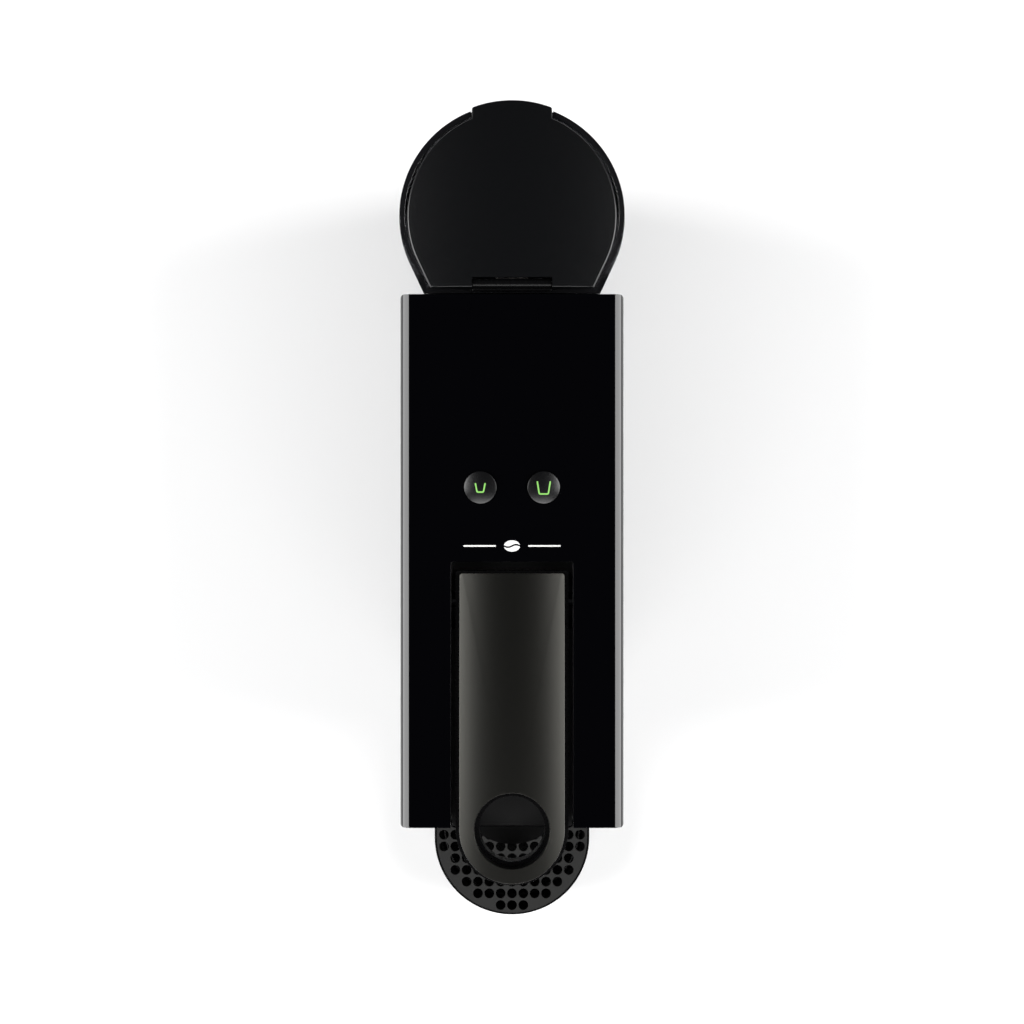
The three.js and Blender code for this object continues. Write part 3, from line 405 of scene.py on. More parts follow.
def settle(piece: Piece) -> Piece:
    """Applies a piece's modifiers."""
    depsgraph = bpy.context.evaluated_depsgraph_get()
    mesh = bpy.data.meshes.new_from_object(piece.evaluated_get(depsgraph), depsgraph=depsgraph)
    spent = piece.data
    piece.modifiers.clear()
    piece.data = mesh
    bpy.data.meshes.remove(spent)
    return piece


def combine(piece: Piece, tools: tuple[Piece, ...], operation: str) -> None:
    """Cuts, adds or keeps the overlap of tools with a piece, and removes the tools."""
    for tool in tools:
        step = piece.modifiers.new(tool.name, "BOOLEAN")
        step.operation = operation
        step.solver = "EXACT"
        step.object = tool
    settle(piece)
    for tool in tools:
        bpy.data.objects.remove(tool)


def cut(piece: Piece, *tools: Piece) -> None:
    """Takes the tools away from a piece."""
    combine(piece, tools, "DIFFERENCE")


def fuse(piece: Piece, *tools: Piece) -> None:
    """Adds the tools to a piece."""
    combine(piece, tools, "UNION")


def keep(piece: Piece, *tools: Piece) -> None:
    """Leaves what a piece shares with every tool."""
    combine(piece, tools, "INTERSECT")


def soften(piece: Piece, width: float, segments: int = 3, over: float = 40.0) -> Piece:
    """Rounds the edges that turn by more than a number of degrees, and shades the rest smooth.

    Args:
        piece: The piece.
        width: The rounding's size in metres; nothing is rounded at 0.
        segments: Faces across the rounding.
        over: The least angle that is rounded and left sharp in the shading.

    Returns:
        The piece.
    """
    if width > 0:
        bevel = piece.modifiers.new("soft_edges", "BEVEL")
        bevel.width = width
        bevel.segments = segments
        bevel.limit_method = "ANGLE"
        bevel.angle_limit = math.radians(over)
        bevel.use_clamp_overlap = True
        bevel.miter_outer = "MITER_ARC"
        settle(piece)
    piece.data.shade_smooth()
    piece.data.set_sharp_from_angle(angle=math.radians(over))
    weighted = piece.modifiers.new("even_shading", "WEIGHTED_NORMAL")
    weighted.keep_sharp = True
    return settle(piece)


def refined_copy(node: str, width: float) -> Piece:
    """A CAD node's shape with its loose triangles merged, flats joined and edges rounded."""
    loose, flat = 2e-6, math.radians(0.5)
    piece = placed(f"{node}_skin", frame["nodes"][node].data.copy())
    work = bmesh.new()
    work.from_mesh(piece.data)
    bmesh.ops.remove_doubles(work, verts=work.verts, dist=loose)
    bmesh.ops.dissolve_limit(work, angle_limit=flat, verts=work.verts, edges=work.edges)
    work.to_mesh(piece.data)
    work.free()
    return soften(piece, width, 2)


def dress(piece: Piece, finish: Finish, slot: Slot, body: str, *nodes: str) -> None:
    """Gives a new piece its finish, the body it moves with and the CAD nodes it stands for.

    Args:
        piece: The new piece.
        finish: Its finish.
        slot: The record's slot that the finish belongs to; not used.
        body: The CAD body that carries it.
        *nodes: The CAD nodes that it replaces.
    """
    piece.data.materials.clear()
    piece.data.materials.append(finish.material())
    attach(piece, body)
    if nodes:
        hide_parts(*nodes)
    log.info("%s: %d faces on %s", piece.name, len(piece.data.polygons), body)


# ---- the gloss case
@dataclass
class Case:
    """The gloss shell: an arch carried front to back, with an overhanging head and a recess on top."""

    wall: float = 2.6 * MM
    edge: float = 4.2 * MM
    inner_edge: float = 1.6 * MM
    corner: float = 1.6 * MM
    head_bottom: float = 118 * MM
    lower_front: float = -20 * MM
    head_fillet: float = 12 * MM
    recess_half: float = 22.8 * MM
    recess_front: float = -140 * MM
    recess_back: float = -5.8 * MM
    recess_bottom: float = 100 * MM
    recess_corner: float = 0.9 * MM
    button_hole: float = 6.2 * MM
    rim: float = 0.22 * MM

    def _arch(self, half: float, low: float, high: float, edge: float) -> Points:
        """Straight sides, a flat top and two rounded top edges, as (x, z)."""
        return rounded([(-half, low, 0), (half, low, 0), (half, high, edge), (-half, high, edge)], 16)

    def _side(self, low: Vector, high: Vector) -> Points:
        """The outline of the case seen from its side, as (y, z)."""
        front, back, top = low.y - MM, high.y + MM, high.z + MM
        return rounded([
            (back, low.z, 0), (back, top, 0), (front, top, 0), (front, self.head_bottom, 0),
            (self.lower_front, self.head_bottom, self.head_fillet), (self.lower_front, low.z, 0),
        ], 16)

    def build(self) -> None:
        """Carves the shell from the arch, and rounds its rims."""
        low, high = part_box("main_housing")
        below, behind = -10 * MM, 120 * MM
        inside = self._arch(high.x - self.wall, below, high.z - self.wall, self.inner_edge)
        recess = band(self.recess_half, self.recess_front, self.recess_back, self.recess_corner)
        shell = prism("case_shell", self._arch(high.x, low.z, high.z, self.edge), low.y, high.y, Axis.Y)
        keep(
            shell,
            prism("side_view", self._side(low, high), -ASIDE, ASIDE, Axis.X),
            prism("plan_view", rectangle(low.x, high.x, low.y, high.y, self.corner), 0, SKY),
        )
        cut(
            shell,
            prism("hollow", inside, low.y + self.wall, behind, Axis.Y),
            prism("lever_recess", recess, self.recess_bottom, SKY),
            *(self._button_hole(name) for name in ("espresso_button", "lungo_button")),
        )
        dress(soften(shell, self.rim), PIANO_BLACK, Slot.SHELL, "chassis", "main_housing")

    def _button_hole(self, name: str) -> Piece:
        """The round cutter for one button."""
        low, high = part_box(name)
        middle = (low + high) / 2
        return prism(f"{name}_hole", circle((middle.x, middle.y), self.button_hole, 48), DECK, SKY)


@dataclass
class Mark:
    """A small generic print on top of the case: a coffee bean between two thin rules."""

    bean_long: float = 3.0 * MM
    bean_wide: float = 2.1 * MM
    tip: float = 8.0
    groove: float = 0.32 * MM
    groove_reach: float = 0.93
    wave: float = 0.22
    rule_from: float = 6.0 * MM
    rule_to: float = 18.0 * MM
    rule_half: float = 0.28 * MM
    rule_corner: float = 0.2 * MM
    film: float = 0.04 * MM

    def _half_bean(self, side: int) -> Points:
        """Half an ellipse, closed by the wave sin(pi u) that runs down the bean's middle."""
        angle = np.radians(np.linspace(self.tip, 180 - self.tip, 40))
        outer = compass(angle) * (self.bean_long, side * self.bean_wide)
        along = np.linspace(-self.groove_reach, self.groove_reach, 24)
        wave = self.wave * self.bean_wide * np.sin(np.pi * along) + side * self.groove
        inner = np.column_stack([self.bean_long * along, wave])
        return np.vstack([outer, inner])

    def build(self, top: float) -> Piece:
        """Prints the bean and the rules as one thin film."""
        parts = [self._half_bean(1), self._half_bean(-1)]
        for side in (1, -1):
            ends = sorted((side * self.rule_from, side * self.rule_to))
            parts.append(rectangle(*ends, -self.rule_half, self.rule_half, self.rule_corner, 4))
        films = [prism(f"mark_{i}", p, top, top + self.film) for i, p in enumerate(parts)]
        return joined("bean_mark", films)


def joined(name: str, pieces: list[Piece]) -> Piece:
    """Several pieces as one object, kept as separate shells."""
    work = bmesh.new()
    for piece in pieces:
        work.from_mesh(piece.data)
        bpy.data.objects.remove(piece)
    mesh = bpy.data.meshes.new(name)
    work.to_mesh(mesh)
    work.free()
    return placed(name, mesh)


# ---- buttons
class Cup(Enum):
    """The two cup symbols: (width at the top, width at the bottom, height) of the small and large cup."""

    SMALL = (4.2 * MM, 2.9 * MM, 3.9 * MM)
    LARGE = (5.4 * MM, 3.9 * MM, 5.3 * MM)


@dataclass
class Button:
    """A round push button: a satin cap whose crown peaks towards the machine's middle, and a lit symbol.

    The crown's height is top - bend * d^2, with d the distance from the peak.
    """

    node: str
    cup: Cup
    radius: float = 6.0 * MM
    peak: Pair = (1.7 * MM, 3.0 * MM)
    bend: float = 18.0
    lip: float = 0.12 * MM
    flange_low: float = 194.6 * MM
    flange_high: float = 196.6 * MM
    stem: float = 2.6 * MM
    stroke: float = 0.55 * MM
    film: float = 0.06 * MM
    cup_corner: float = 0.5 * MM
    blunt: float = 0.2

    def _centre(self) -> Pair:
        """The button's middle in plan."""
        low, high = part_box(self.node)
        return (low.x + high.x) / 2, (low.y + high.y) / 2

    def _crown(self, x: Points, y: Points) -> Points:
        """Height of the cap's top above a point."""
        cx, cy = self._centre()
        peak_x = cx - math.copysign(self.peak[0], cx)
        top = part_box(self.node)[1].z
        return top - self.bend * ((x - peak_x) ** 2 + (y - cy - self.peak[1]) ** 2)

    def _cup_path(self) -> Points:
        """The middle of the stroke: down one slanting side, across the bottom and up the other side."""
        top, bottom, height = (size - self.stroke for size in self.cup.value)
        t, b, h = top / 2, bottom / 2, height / 2
        path = rounded([(-t, h, 0), (-b, -h, self.cup_corner), (b, -h, self.cup_corner), (t, h, 0)])
        gone = np.concatenate([[0], np.cumsum(np.linalg.norm(np.diff(path, axis=0), axis=1))])
        even = np.linspace(0, gone[-1], 90)
        return np.column_stack([np.interp(even, gone, path[:, i]) for i in (0, 1)])

    def _cap(self) -> Piece:
        """Rings from the crown over a rounded lip to the flange and the stem."""
        low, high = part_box(self.node)
        centre = self._centre()
        flange = high.x - centre[0]

        def ring(radius: float, height: float | None = None, sink: float = 0.0) -> Points:
            """A ring at a height, or on the crown less a sink."""
            plan = circle(centre, radius, 72)
            return lifted(plan, self._crown(*plan.T) - sink if height is None else height)

        rings = [ring(r) for r in np.linspace(0, self.radius - self.lip, 16)]
        rings += [ring(self.radius - short, sink=fall) for fall, short in quarter(self.lip, 7)[1:]]
        rings += [ring(self.radius, self.flange_high), ring(flange, self.flange_high)]
        rings += [ring(flange, self.flange_low), ring(self.stem, self.flange_low), ring(self.stem, low.z)]
        return stack(f"{self.node}_cap", np.stack(rings), wrap=False)

    def _symbol(self) -> Piece:
        """The cup: a flat ribbon carried along its path on the crown, rounded off at both ends.

        Its half width at a distance s from an end is sqrt(w^2 - (w - s)^2) until s passes w.
        """
        path = self._cup_path()
        step = np.gradient(path, axis=0)
        heading = step / np.linalg.norm(step, axis=1)[:, None]
        across = np.column_stack([-heading[:, 1], heading[:, 0]])
        pace = np.linalg.norm(path[1] - path[0])
        from_end = np.minimum(np.arange(len(path)), np.arange(len(path))[::-1]) * pace
        half = self.stroke / 2
        least = (self.blunt * half) ** 2
        width = np.sqrt(np.maximum(half**2 - np.maximum(half - from_end, 0) ** 2, least))
        section = np.array([(-1.0, 0.0), (-0.8, 1.0), (0.8, 1.0), (1.0, 0.0), (0.8, -1.0), (-0.8, -1.0)])
        offset = across[:, None] * (width[:, None] * section[:, 0])[..., None]
        plan = path[:, None] + offset + self._centre()
        level = self._crown(plan[..., 0], plan[..., 1]) + self.film * section[:, 1]
        return stack(f"{self.node}_symbol", np.concatenate([plan, level[..., None]], axis=2), wrap=False)

    def build(self) -> None:
        """Builds the cap and lays the symbol on it."""
        dress(soften(self._cap(), 0.0), BUTTON_SATIN, Slot.SHELL, self.node, self.node)
        dress(self._symbol(), LIT_GREEN, Slot.SHELL, self.node)


# ---- lever
@dataclass
class Lever:
    """The lever: a matt frame with a crowned satin cover, and a finger hole through both at the front."""

    frame_hole: float = 12.2 * MM
    frame_corner: float = 1.0 * MM
    frame_bottom: float = 188 * MM
    pocket: tuple[float, ...] = (17 * MM, -86 * MM, -29 * MM, 4 * MM)
    pocket_top: float = 193.5 * MM
    pivot: Pair = (-20 * MM, 192 * MM)
    hub: float = 5 * MM
    shaft_hole: float = 3.1 * MM
    below: float = 180 * MM
    cover_hole: float = 14 * MM
    cover_corner: float = 1.2 * MM
    fillet: float = 0.16 * MM
    rear_top: float = 201.5 * MM
    peak: float = 0.72
    drop: float = 2.6 * MM
    around_top: int = 44

    def _crown(self, plan: Points) -> Points:
        """Height of the cover: along it a parabola that peaks near the front, less a parabola across."""
        low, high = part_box("lever_cover")
        along = (high.y - plan[:, 1]) / (high.y - low.y)
        arch = self.rear_top + (high.z - self.rear_top) * (1 - (1 - along / self.peak) ** 2)
        return arch - self.drop * (plan[:, 0] / high.x) ** 2

    def _cover(self) -> None:
        """The cover as one skin whose section runs up the side, over the crown and down the hole."""
        low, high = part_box("lever_cover")
        half, centre_y = high.x, low.y + high.x
        centre = np.array([0, centre_y])

        def inset(distance: float) -> Points:
            """The outline moved inwards by a distance."""
            return tongue(half - distance, centre_y, high.y - distance, self.cover_corner - distance)

        def ring(plan: Points, sink: float = 0.0) -> Points:
            """A ring on the crown less a sink."""
            return lifted(plan, self._crown(plan) - sink)

        outer, rim, edge = inset(0.0), inset(self.fillet), quarter(self.fillet, 7)
        hole = compass(np.arctan2(outer[:, 1] - centre_y, outer[:, 0]))
        lip = centre + hole * (self.cover_hole + self.fillet)
        rings = [lifted(outer, low.z)]
        rings += [ring(inset(near), fall) for near, fall in edge]
        rings += [ring(rim + (lip - rim) * share) for share in np.linspace(0, 1, self.around_top)[1:]]
        rings += [ring(centre + hole * (self.cover_hole + wide), sink) for sink, wide in edge[1:]]
        rings.append(lifted(centre + hole * self.cover_hole, low.z))
        skin = stack("lever_cover_skin", np.stack(rings), wrap=True)
        dress(soften(skin, 0.0), LEVER_GREY, Slot.SATIN, "lever", "lever_cover")

    def _frame(self) -> None:
        """The frame: a tongue with the hub at the pivot, a pocket below and the finger hole."""
        low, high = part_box("lever_frame")
        centre_y = low.y + high.x
        outline = tongue(high.x, centre_y, high.y, self.frame_corner)
        body = prism("lever_frame_skin", outline, self.frame_bottom, high.z)
        fuse(body, prism("hub", circle(self.pivot, self.hub, 60), -high.x, high.x, Axis.X))
        cut(
            body,
            prism("pocket", band(*self.pocket), self.below, self.pocket_top),
            prism("finger_hole", circle((0, centre_y), self.frame_hole, 72), self.below, SKY),
            prism("shaft_hole", circle(self.pivot, self.shaft_hole, 36), -ASIDE, ASIDE, Axis.X),
        )
        # The frame takes the darker black with painted shade, so its ledge in the finger hole reads as shaded by
        # the cover.
        dress(soften(body, 0.3 * MM), BLACK_WITH_PAINTED_SHADE, Slot.MATT, "lever", "lever_frame")

    def build(self) -> None:
        """Builds both parts."""
        self._frame()
        self._cover()


# ---- water tank
@dataclass
class Tank:
    """The smoke-tinted tank with its flat front and round back, and the lid hinged at its front edge."""

    radius: float = 41.93 * MM
    centre_y: float = 122.4 * MM
    face: float = 94.2 * MM
    face_points: int = 25
    ahead: float = 80 * MM
    rim: float = 197.4 * MM
    wall: float = 2.2 * MM
    rim_round: float = 0.28 * MM
    floor: float = 2.6 * MM
    foot: float = 2.4 * MM
    taper: float = 0.93
    tangent: float = 25.4
    valve: Pair = (0.0, 112 * MM)
    valve_hole: float = 5.9 * MM
    notch_bottom: float = 193.4 * MM
    notch_past_pin: float = 3.4 * MM
    tab_notch: tuple[float, float, float] = (15.3 * MM, 150 * MM, 170 * MM)
    tab_notch_bottom: float = 194.6 * MM
    pin: Pair = (97.4 * MM, 197 * MM)
    pin_hole: float = 1.2 * MM
    barrel: float = 1.9 * MM
    knuckle_half: float = 14.6 * MM
    knuckle_back: float = 98 * MM
    knuckle_bottom: float = 191 * MM
    knuckle_inset: float = 0.6 * MM
    lid_top: float = 200.6 * MM
    lid_drop: float = 2.7 * MM
    lid_under: float = 197.2 * MM
    lid_front: float = 95.8 * MM
    lid_gap: float = 3.1 * MM
    lid_round: float = 0.5 * MM
    lid_notch_past_pin: float = 2.15 * MM
    skirt_insets: Pair = (3.5 * MM, 5 * MM)
    skirt_bottom: float = 192.4 * MM
    skirt_past_pin: float = 5 * MM
    ear: Pair = (15.1 * MM, 22.5 * MM)
    ear_bore_half: float = 23 * MM
    tab_half: float = 14.9 * MM
    tab_bulge: float = 0.6 * MM
    tab_corner: float = 1.1 * MM
    tab_inset: float = 0.06 * MM
    tab_reach: float = 6 * MM
    tab_bottom: float = 195.2 * MM

    def plan(self, inset: float, face_inset: float | None = None) -> Points:
        """Flat front, two flanks tangent to the round back; everything moved in by inset."""
        r = self.radius - inset
        face = self.face + (inset if face_inset is None else face_inset)
        a = math.radians(self.tangent)
        face_x = r * math.cos(a) - (self.centre_y - r * math.sin(a) - face) * math.tan(a)
        back = arc((0, self.centre_y), r, -self.tangent, 180 + self.tangent, 96)
        across = np.linspace(-face_x, face_x, self.face_points)
        return np.vstack([np.column_stack([across, np.full_like(across, face)]), back])

    def _tapered(self, inset: float, height: float) -> Points:
        """The plan at a height: the bottom is the taper times the rim, shrunk towards the front face."""
        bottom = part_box("water_tank")[0].z
        scale = 1 - (1 - self.taper) * (self.rim - height) / (self.rim - bottom)
        anchor = np.array([0, self.face + inset])
        return lifted(anchor + (self.plan(inset) - anchor) * scale, height)

    def _shell(self) -> None:
        """Outer wall, rounded rim, inner wall and floor as one skin that closes through the valve hole."""
        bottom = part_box("water_tank")[0].z
        inside, foot, nose = bottom + self.floor, self.foot, self.rim_round
        toward = self._tapered(self.wall, inside)[:, :2] - self.valve
        hole = self.valve + toward / np.linalg.norm(toward, axis=1)[:, None] * self.valve_hole
        edge = quarter(nose, 5)
        rings = [self._tapered(short, bottom + rise) for rise, short in quarter(foot, 7)]
        rings += [self._tapered(0, z) for z in np.linspace(bottom + foot, self.rim - nose, 24)[1:]]
        rings += [self._tapered(near, self.rim - fall) for near, fall in edge[1:]]
        rings += [self._tapered(self.wall - fall, self.rim - near) for near, fall in edge]
        rings += [self._tapered(self.wall, z) for z in np.linspace(self.rim - nose, inside + foot, 24)[1:]]
        rings += [self._tapered(self.wall + near, inside + rise) for near, rise in quarter(foot, 6)[1:]]
        rings += [lifted(hole, z) for z in (inside, bottom)]
        skin = stack("tank_skin", np.stack(rings), wrap=True)
        front_notch = band(ASIDE, self.ahead, self.pin[0] + self.notch_past_pin)
        cut(
            skin,
            prism("front_notch", front_notch, self.notch_bottom, SKY),
            prism("tab_notch", band(*self.tab_notch), self.tab_notch_bottom, SKY),
        )
        dress(soften(skin, 0.0, over=50.0), SMOKE_TINTED, Slot.SMOKE, "tank", "water_tank")

    def _knuckle(self) -> None:
        """The black hinge bracket on the tank's front edge.

        It is a strip behind and over the wall, with a barrel round the pin.
        """
        reach, back, top = self.knuckle_half, self.knuckle_back, self.pin[1]
        front, wall_inside = self.face + self.knuckle_inset, self.face + self.wall
        notch, bottom = self.notch_bottom, self.knuckle_bottom
        strip = rounded([
            (front, notch, 0), (wall_inside, notch, 0), (wall_inside, bottom, 0),
            (back, bottom, 0), (back, top, 0), (front, top, 0),
        ])
        bracket = prism("hinge_knuckle", strip, -reach, reach, Axis.X)
        fuse(bracket, prism("barrel", circle(self.pin, self.barrel, 24), -reach, reach, Axis.X))
        cut(bracket, prism("pin_bore", circle(self.pin, self.pin_hole, 12), -ASIDE, ASIDE, Axis.X))
        # The darker black with painted shade.
        dress(soften(bracket, 0.2 * MM), BLACK_WITH_PAINTED_SHADE, Slot.MATT, "tank")

    def _lid_plan(self, inset: float) -> Points:
        """The lid's outline with its finger tab behind, everything moved in by inset."""
        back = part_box("tank_lid")[1].y
        gap = self.lid_gap + inset
        radius, half, ring = self.radius - gap, self.tab_half - inset, self.radius + self.tab_bulge
        front = self.plan(gap, self.lid_front - self.face + inset)[:self.face_points]
        meet = math.degrees(math.acos(half / radius))
        right = arc((0, self.centre_y), radius, -self.tangent, meet, 36)
        reach = math.degrees(math.acos(half / (ring - inset)))
        tab = arc((0, back - ring), ring - inset, reach, 180 - reach, 24)
        outline = np.vstack([front, right, tab, right[::-1] * (-1, 1)])
        rounds = np.zeros(len(outline))
        first = len(front) + len(right)
        rounds[[first, first + len(tab) - 1]] = self.tab_corner - inset
        return rounded(list(zip(*outline.T, rounds)), 6)

    def _lid_ring(self, plan: Points, sink: float = 0.0) -> Points:
        """A ring on the lid's crown, which falls by lid_drop * (x / radius)^2, less a sink."""
        return lifted(plan, self.lid_top - self.lid_drop * (plan[:, 0] / self.radius) ** 2 - sink)

    def _lid_plate(self) -> Piece:
        """The crowned plate: flat below, a rounded rim, and rings that close in on the middle above."""
        rim, middle = self._lid_plan(self.lid_round), np.array([0.0, self.centre_y])
        rings = [lifted(self._lid_plan(0.0), self.lid_under)]
        rings += [self._lid_ring(self._lid_plan(near), fall) for near, fall in quarter(self.lid_round, 9)]
        rings += [self._lid_ring(rim + (middle - rim) * share) for share in np.linspace(0, 1, 30)[1:]]
        return stack("tank_lid_skin", np.stack(rings), wrap=False)

    def _lid(self) -> None:
        """The lid: the crowned plate, a deeper finger tab behind, a skirt below and two ears on the pin."""
        plate = self._lid_plate()
        tab = self._lid_plan(self.tab_inset)
        tab = tab[(tab[:, 1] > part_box("tank_lid")[1].y - self.tab_reach) & (np.abs(tab[:, 0]) < self.tab_half)]
        outer, inner = (self.plan(inset) for inset in self.skirt_insets)
        front = band(ASIDE, self.ahead, self.pin[0] + self.skirt_past_pin)
        skirt = prism("skirt", outer, self.skirt_bottom, self.lid_under + 0.5 * MM)
        cut(
            skirt,
            prism("skirt_inside", inner, DECK, self.lid_under),
            prism("skirt_front", front, DECK, self.lid_under),
        )
        ears = [
            prism(f"ear_{side}", circle(self.pin, self.barrel, 24), *sorted(side * x for x in self.ear), Axis.X)
            for side in (1, -1)
        ]
        fuse(plate, prism("tab", tab, self.tab_bottom, self.lid_under + MM), skirt, *ears)
        notch = band(self.tab_half, self.ahead, self.pin[0] + self.lid_notch_past_pin)
        bore = self.ear_bore_half
        cut(
            plate,
            prism("hinge_notch", notch, DECK, SKY),
            prism("pin_bore", circle(self.pin, self.pin_hole, 12), -bore, bore, Axis.X),
        )
        dress(soften(plate, 0.0), LID_BLACK, Slot.MATT, "tank_lid", "tank_lid")

    def build(self) -> None:
        """Builds the tank, its hinge bracket and the lid."""
        self._shell()
        self._knuckle()
        self._lid()


# ---- brew head
@dataclass
class BrewHead:
    """What shows below the lever: the round-fronted outlet cowl and the spout."""

    bulge: float = 21 * MM
    centre_y: float = -92 * MM
    wall: float = 2 * MM
    flange_front: float = -103.9 * MM
    hollow_half: float = 8.2 * MM
    ahead: float = -140 * MM
    spout_hole: float = 6 * MM
    spout_hole_span: Pair = (110 * MM, 130 * MM)
    step: float = 1.6 * MM
    seam: Pair = (-106.3 * MM, -104.3 * MM)
    seam_depth: float = 4 * MM
    lip: float = 0.8 * MM
    nozzle: float = 1.8 * MM
    neck: float = 4.4 * MM
    funnel: float = 5.6 * MM
    funnel_wall: float = 1.0 * MM

    def _front_arc(self, radius: float, reach: float, steps: int) -> Points:
        """The bulge's arc at a radius, over reach degrees to each side of the front."""
        return arc((0, self.centre_y), radius, 270 - reach, 270 + reach, steps)

    def _cowl(self) -> None:
        """A flange with a half-round bulge in front, closed on top."""
        low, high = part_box("outlet_cowl")
        front, inner = self.flange_front, self.bulge - self.wall
        reach = math.degrees(math.acos((front - self.centre_y) / -self.bulge))
        spread = math.degrees(math.acos(self.hollow_half / inner))
        flange = [(high.x, front), (high.x, high.y), (low.x, high.y), (low.x, front)]
        outline = np.vstack([flange, self._front_arc(self.bulge, reach, 48)])
        hollow = self._front_arc(inner, spread, 40)
        spout_low, spout_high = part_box("coffee_spout")
        spout = (0, (spout_low.y + spout_high.y) / 2)
        skin = prism("outlet_cowl_skin", outline, low.z, high.z)
        cut(
            skin,
            prism("cowl_hollow", hollow, low.z + self.wall, high.z - self.wall - self.seam_depth),
            prism("step_down", band(ASIDE, self.ahead, self.seam[0]), high.z - self.step, SKY),
            prism("seam", band(ASIDE, *self.seam), high.z - self.seam_depth, SKY),
            prism("spout_hole", circle(spout, self.spout_hole, 36), *self.spout_hole_span),
        )
        dress(soften(skin, 0.7 * MM), MATT_BLACK, Slot.MATT, "chassis", "outlet_cowl")

    def _spout(self) -> None:
        """The spout: a funnel that narrows to a short nozzle with a rounded mouth."""
        low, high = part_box("coffee_spout")
        middle = ((low.x + high.x) / 2, (low.y + high.y) / 2)
        bottom, top, inner = low.z, high.z, self.funnel - self.funnel_wall
        mouth = arc((self.nozzle + self.lip, bottom + self.lip), self.lip, 180, 360, 10)
        profile = np.vstack([mouth, [
            (self.neck, bottom + 3 * MM), (self.neck, 117 * MM), (self.funnel, 119 * MM), (self.funnel, top),
            (inner, top), (inner, 124 * MM), (self.nozzle, 118 * MM),
        ]])
        rings = np.stack([lifted(circle(middle, radius, 48), height) for radius, height in profile])
        skin = stack("coffee_spout_skin", rings, wrap=True)
        dress(soften(skin, 0.0), MATT_BLACK, Slot.MATT, "chassis", "coffee_spout")

    def build(self) -> None:
        """Builds both parts."""
        self._cowl()
        self._spout()


# ---- pod bin, tray and grid
@dataclass
class DripTray:
    """The round-fronted tray with a thin rim, and its punched grid."""

    centre_y: float = -130.9 * MM
    wall: float = 2.2 * MM
    floor: float = 2.2 * MM
    ledge: float = 37 * MM
    rim_round: float = 0.15 * MM
    foot: float = 2.5 * MM
    pitch: Pair = (5.0 * MM, 5.17 * MM)
    hole: float = 2.2 * MM
    corner: float = 1.2 * MM
    grid_corner: float = 1.0 * MM
    grid_gap: float = 0.2 * MM
    inner_round: float = 2 * MM
    first_row: float = -160.7 * MM
    rows: tuple[int, ...] = (1, 3, 4, 5, 5, 6, 6, 6, 6, 6, 6, 6, 6)

    def _tray(self) -> None:
        """The tub as stacked plans: rounded foot, wall, rounded rim, ledge, inside wall and floor."""
        low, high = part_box("drip_tray")

        def ring(inset: float, height: float) -> Points:
            """The plan moved in by inset, at a height."""
            return lifted(tongue(high.x - inset, self.centre_y, high.y - inset, self.corner), height)

        seat = high.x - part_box("drip_grid")[1].x - self.grid_gap
        edge, inside = quarter(self.rim_round, 6), low.z + self.floor
        rings = [ring(short, low.z + rise) for rise, short in quarter(self.foot, 6)]
        rings += [ring(near, high.z - fall) for near, fall in edge]
        rings += [ring(seat - fall, high.z - near) for near, fall in edge]
        rings += [ring(seat, self.ledge), ring(self.wall, self.ledge)]
        rings += [ring(self.wall + near, inside + rise) for near, rise in quarter(self.inner_round, 6)]
        skin = stack("drip_tray_skin", np.stack(rings), wrap=False)
        # The darker black with painted shade.
        dress(soften(skin, 0.0), BLACK_WITH_PAINTED_SHADE, Slot.MATT, "drip_tray", "drip_tray")

    def _grid(self) -> None:
        """The plate with a round hole at every crossing, each hole's edge softened."""
        low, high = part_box("drip_grid")
        outline = tongue(high.x, self.centre_y, high.y, self.grid_corner)
        skin = prism("drip_grid_skin", outline, low.z, high.z)
        places = [
            (column * self.pitch[0], self.first_row + row * self.pitch[1])
            for row, reach in enumerate(self.rows)
            for column in range(-reach, reach + 1)
        ]
        punches = [prism("punch", circle(place, self.hole, 16), low.z - MM, high.z + MM) for place in places]
        cut(skin, joined("punches", punches))
        dress(soften(skin, 0.3 * MM, 2), GRID_GREY, Slot.SATIN, "drip_grid", "drip_grid")

    def build(self) -> None:
        """Builds both parts."""
        self._tray()
        self._grid()


@dataclass
class PodBin:
    """The bin that catches used pods, with the tongue that carries the drip tray."""

    wall: float = 2 * MM
    corner: float = 3 * MM
    inner_corner: float = 1.5 * MM
    body_front: float = -93.2 * MM
    body_back: float = -20.9 * MM
    body_bottom: float = 7.8 * MM
    tongue_half: float = 29 * MM
    tongue_low: float = 2.8 * MM
    tongue_high: float = 4.8 * MM
    tongue_centre: float = -130.9 * MM

    def build(self) -> None:
        """Hollows a rounded box, adds its front skirt and tongue, and softens the rims."""
        low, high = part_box("capsule_container")
        front, back, bottom = self.body_front, self.body_back, self.body_bottom
        inner = band(high.x - self.wall, front + self.wall, back - self.wall, self.inner_corner)
        skirt = band(self.tongue_half, front, front + self.wall)
        carrier = tongue(self.tongue_half, self.tongue_centre, front + MM)
        skin = prism("pod_bin_skin", rectangle(low.x, high.x, front, back, self.corner), bottom, high.z)
        fuse(
            skin,
            prism("skirt", skirt, self.tongue_low, bottom + MM),
            prism("tongue", carrier, self.tongue_low, self.tongue_high),
        )
        cut(skin, prism("bin_inside", inner, bottom + self.wall, high.z + MM))
        dress(soften(skin, 0.5 * MM), MATT_BLACK, Slot.MATT, "capsule_bin", "capsule_container")


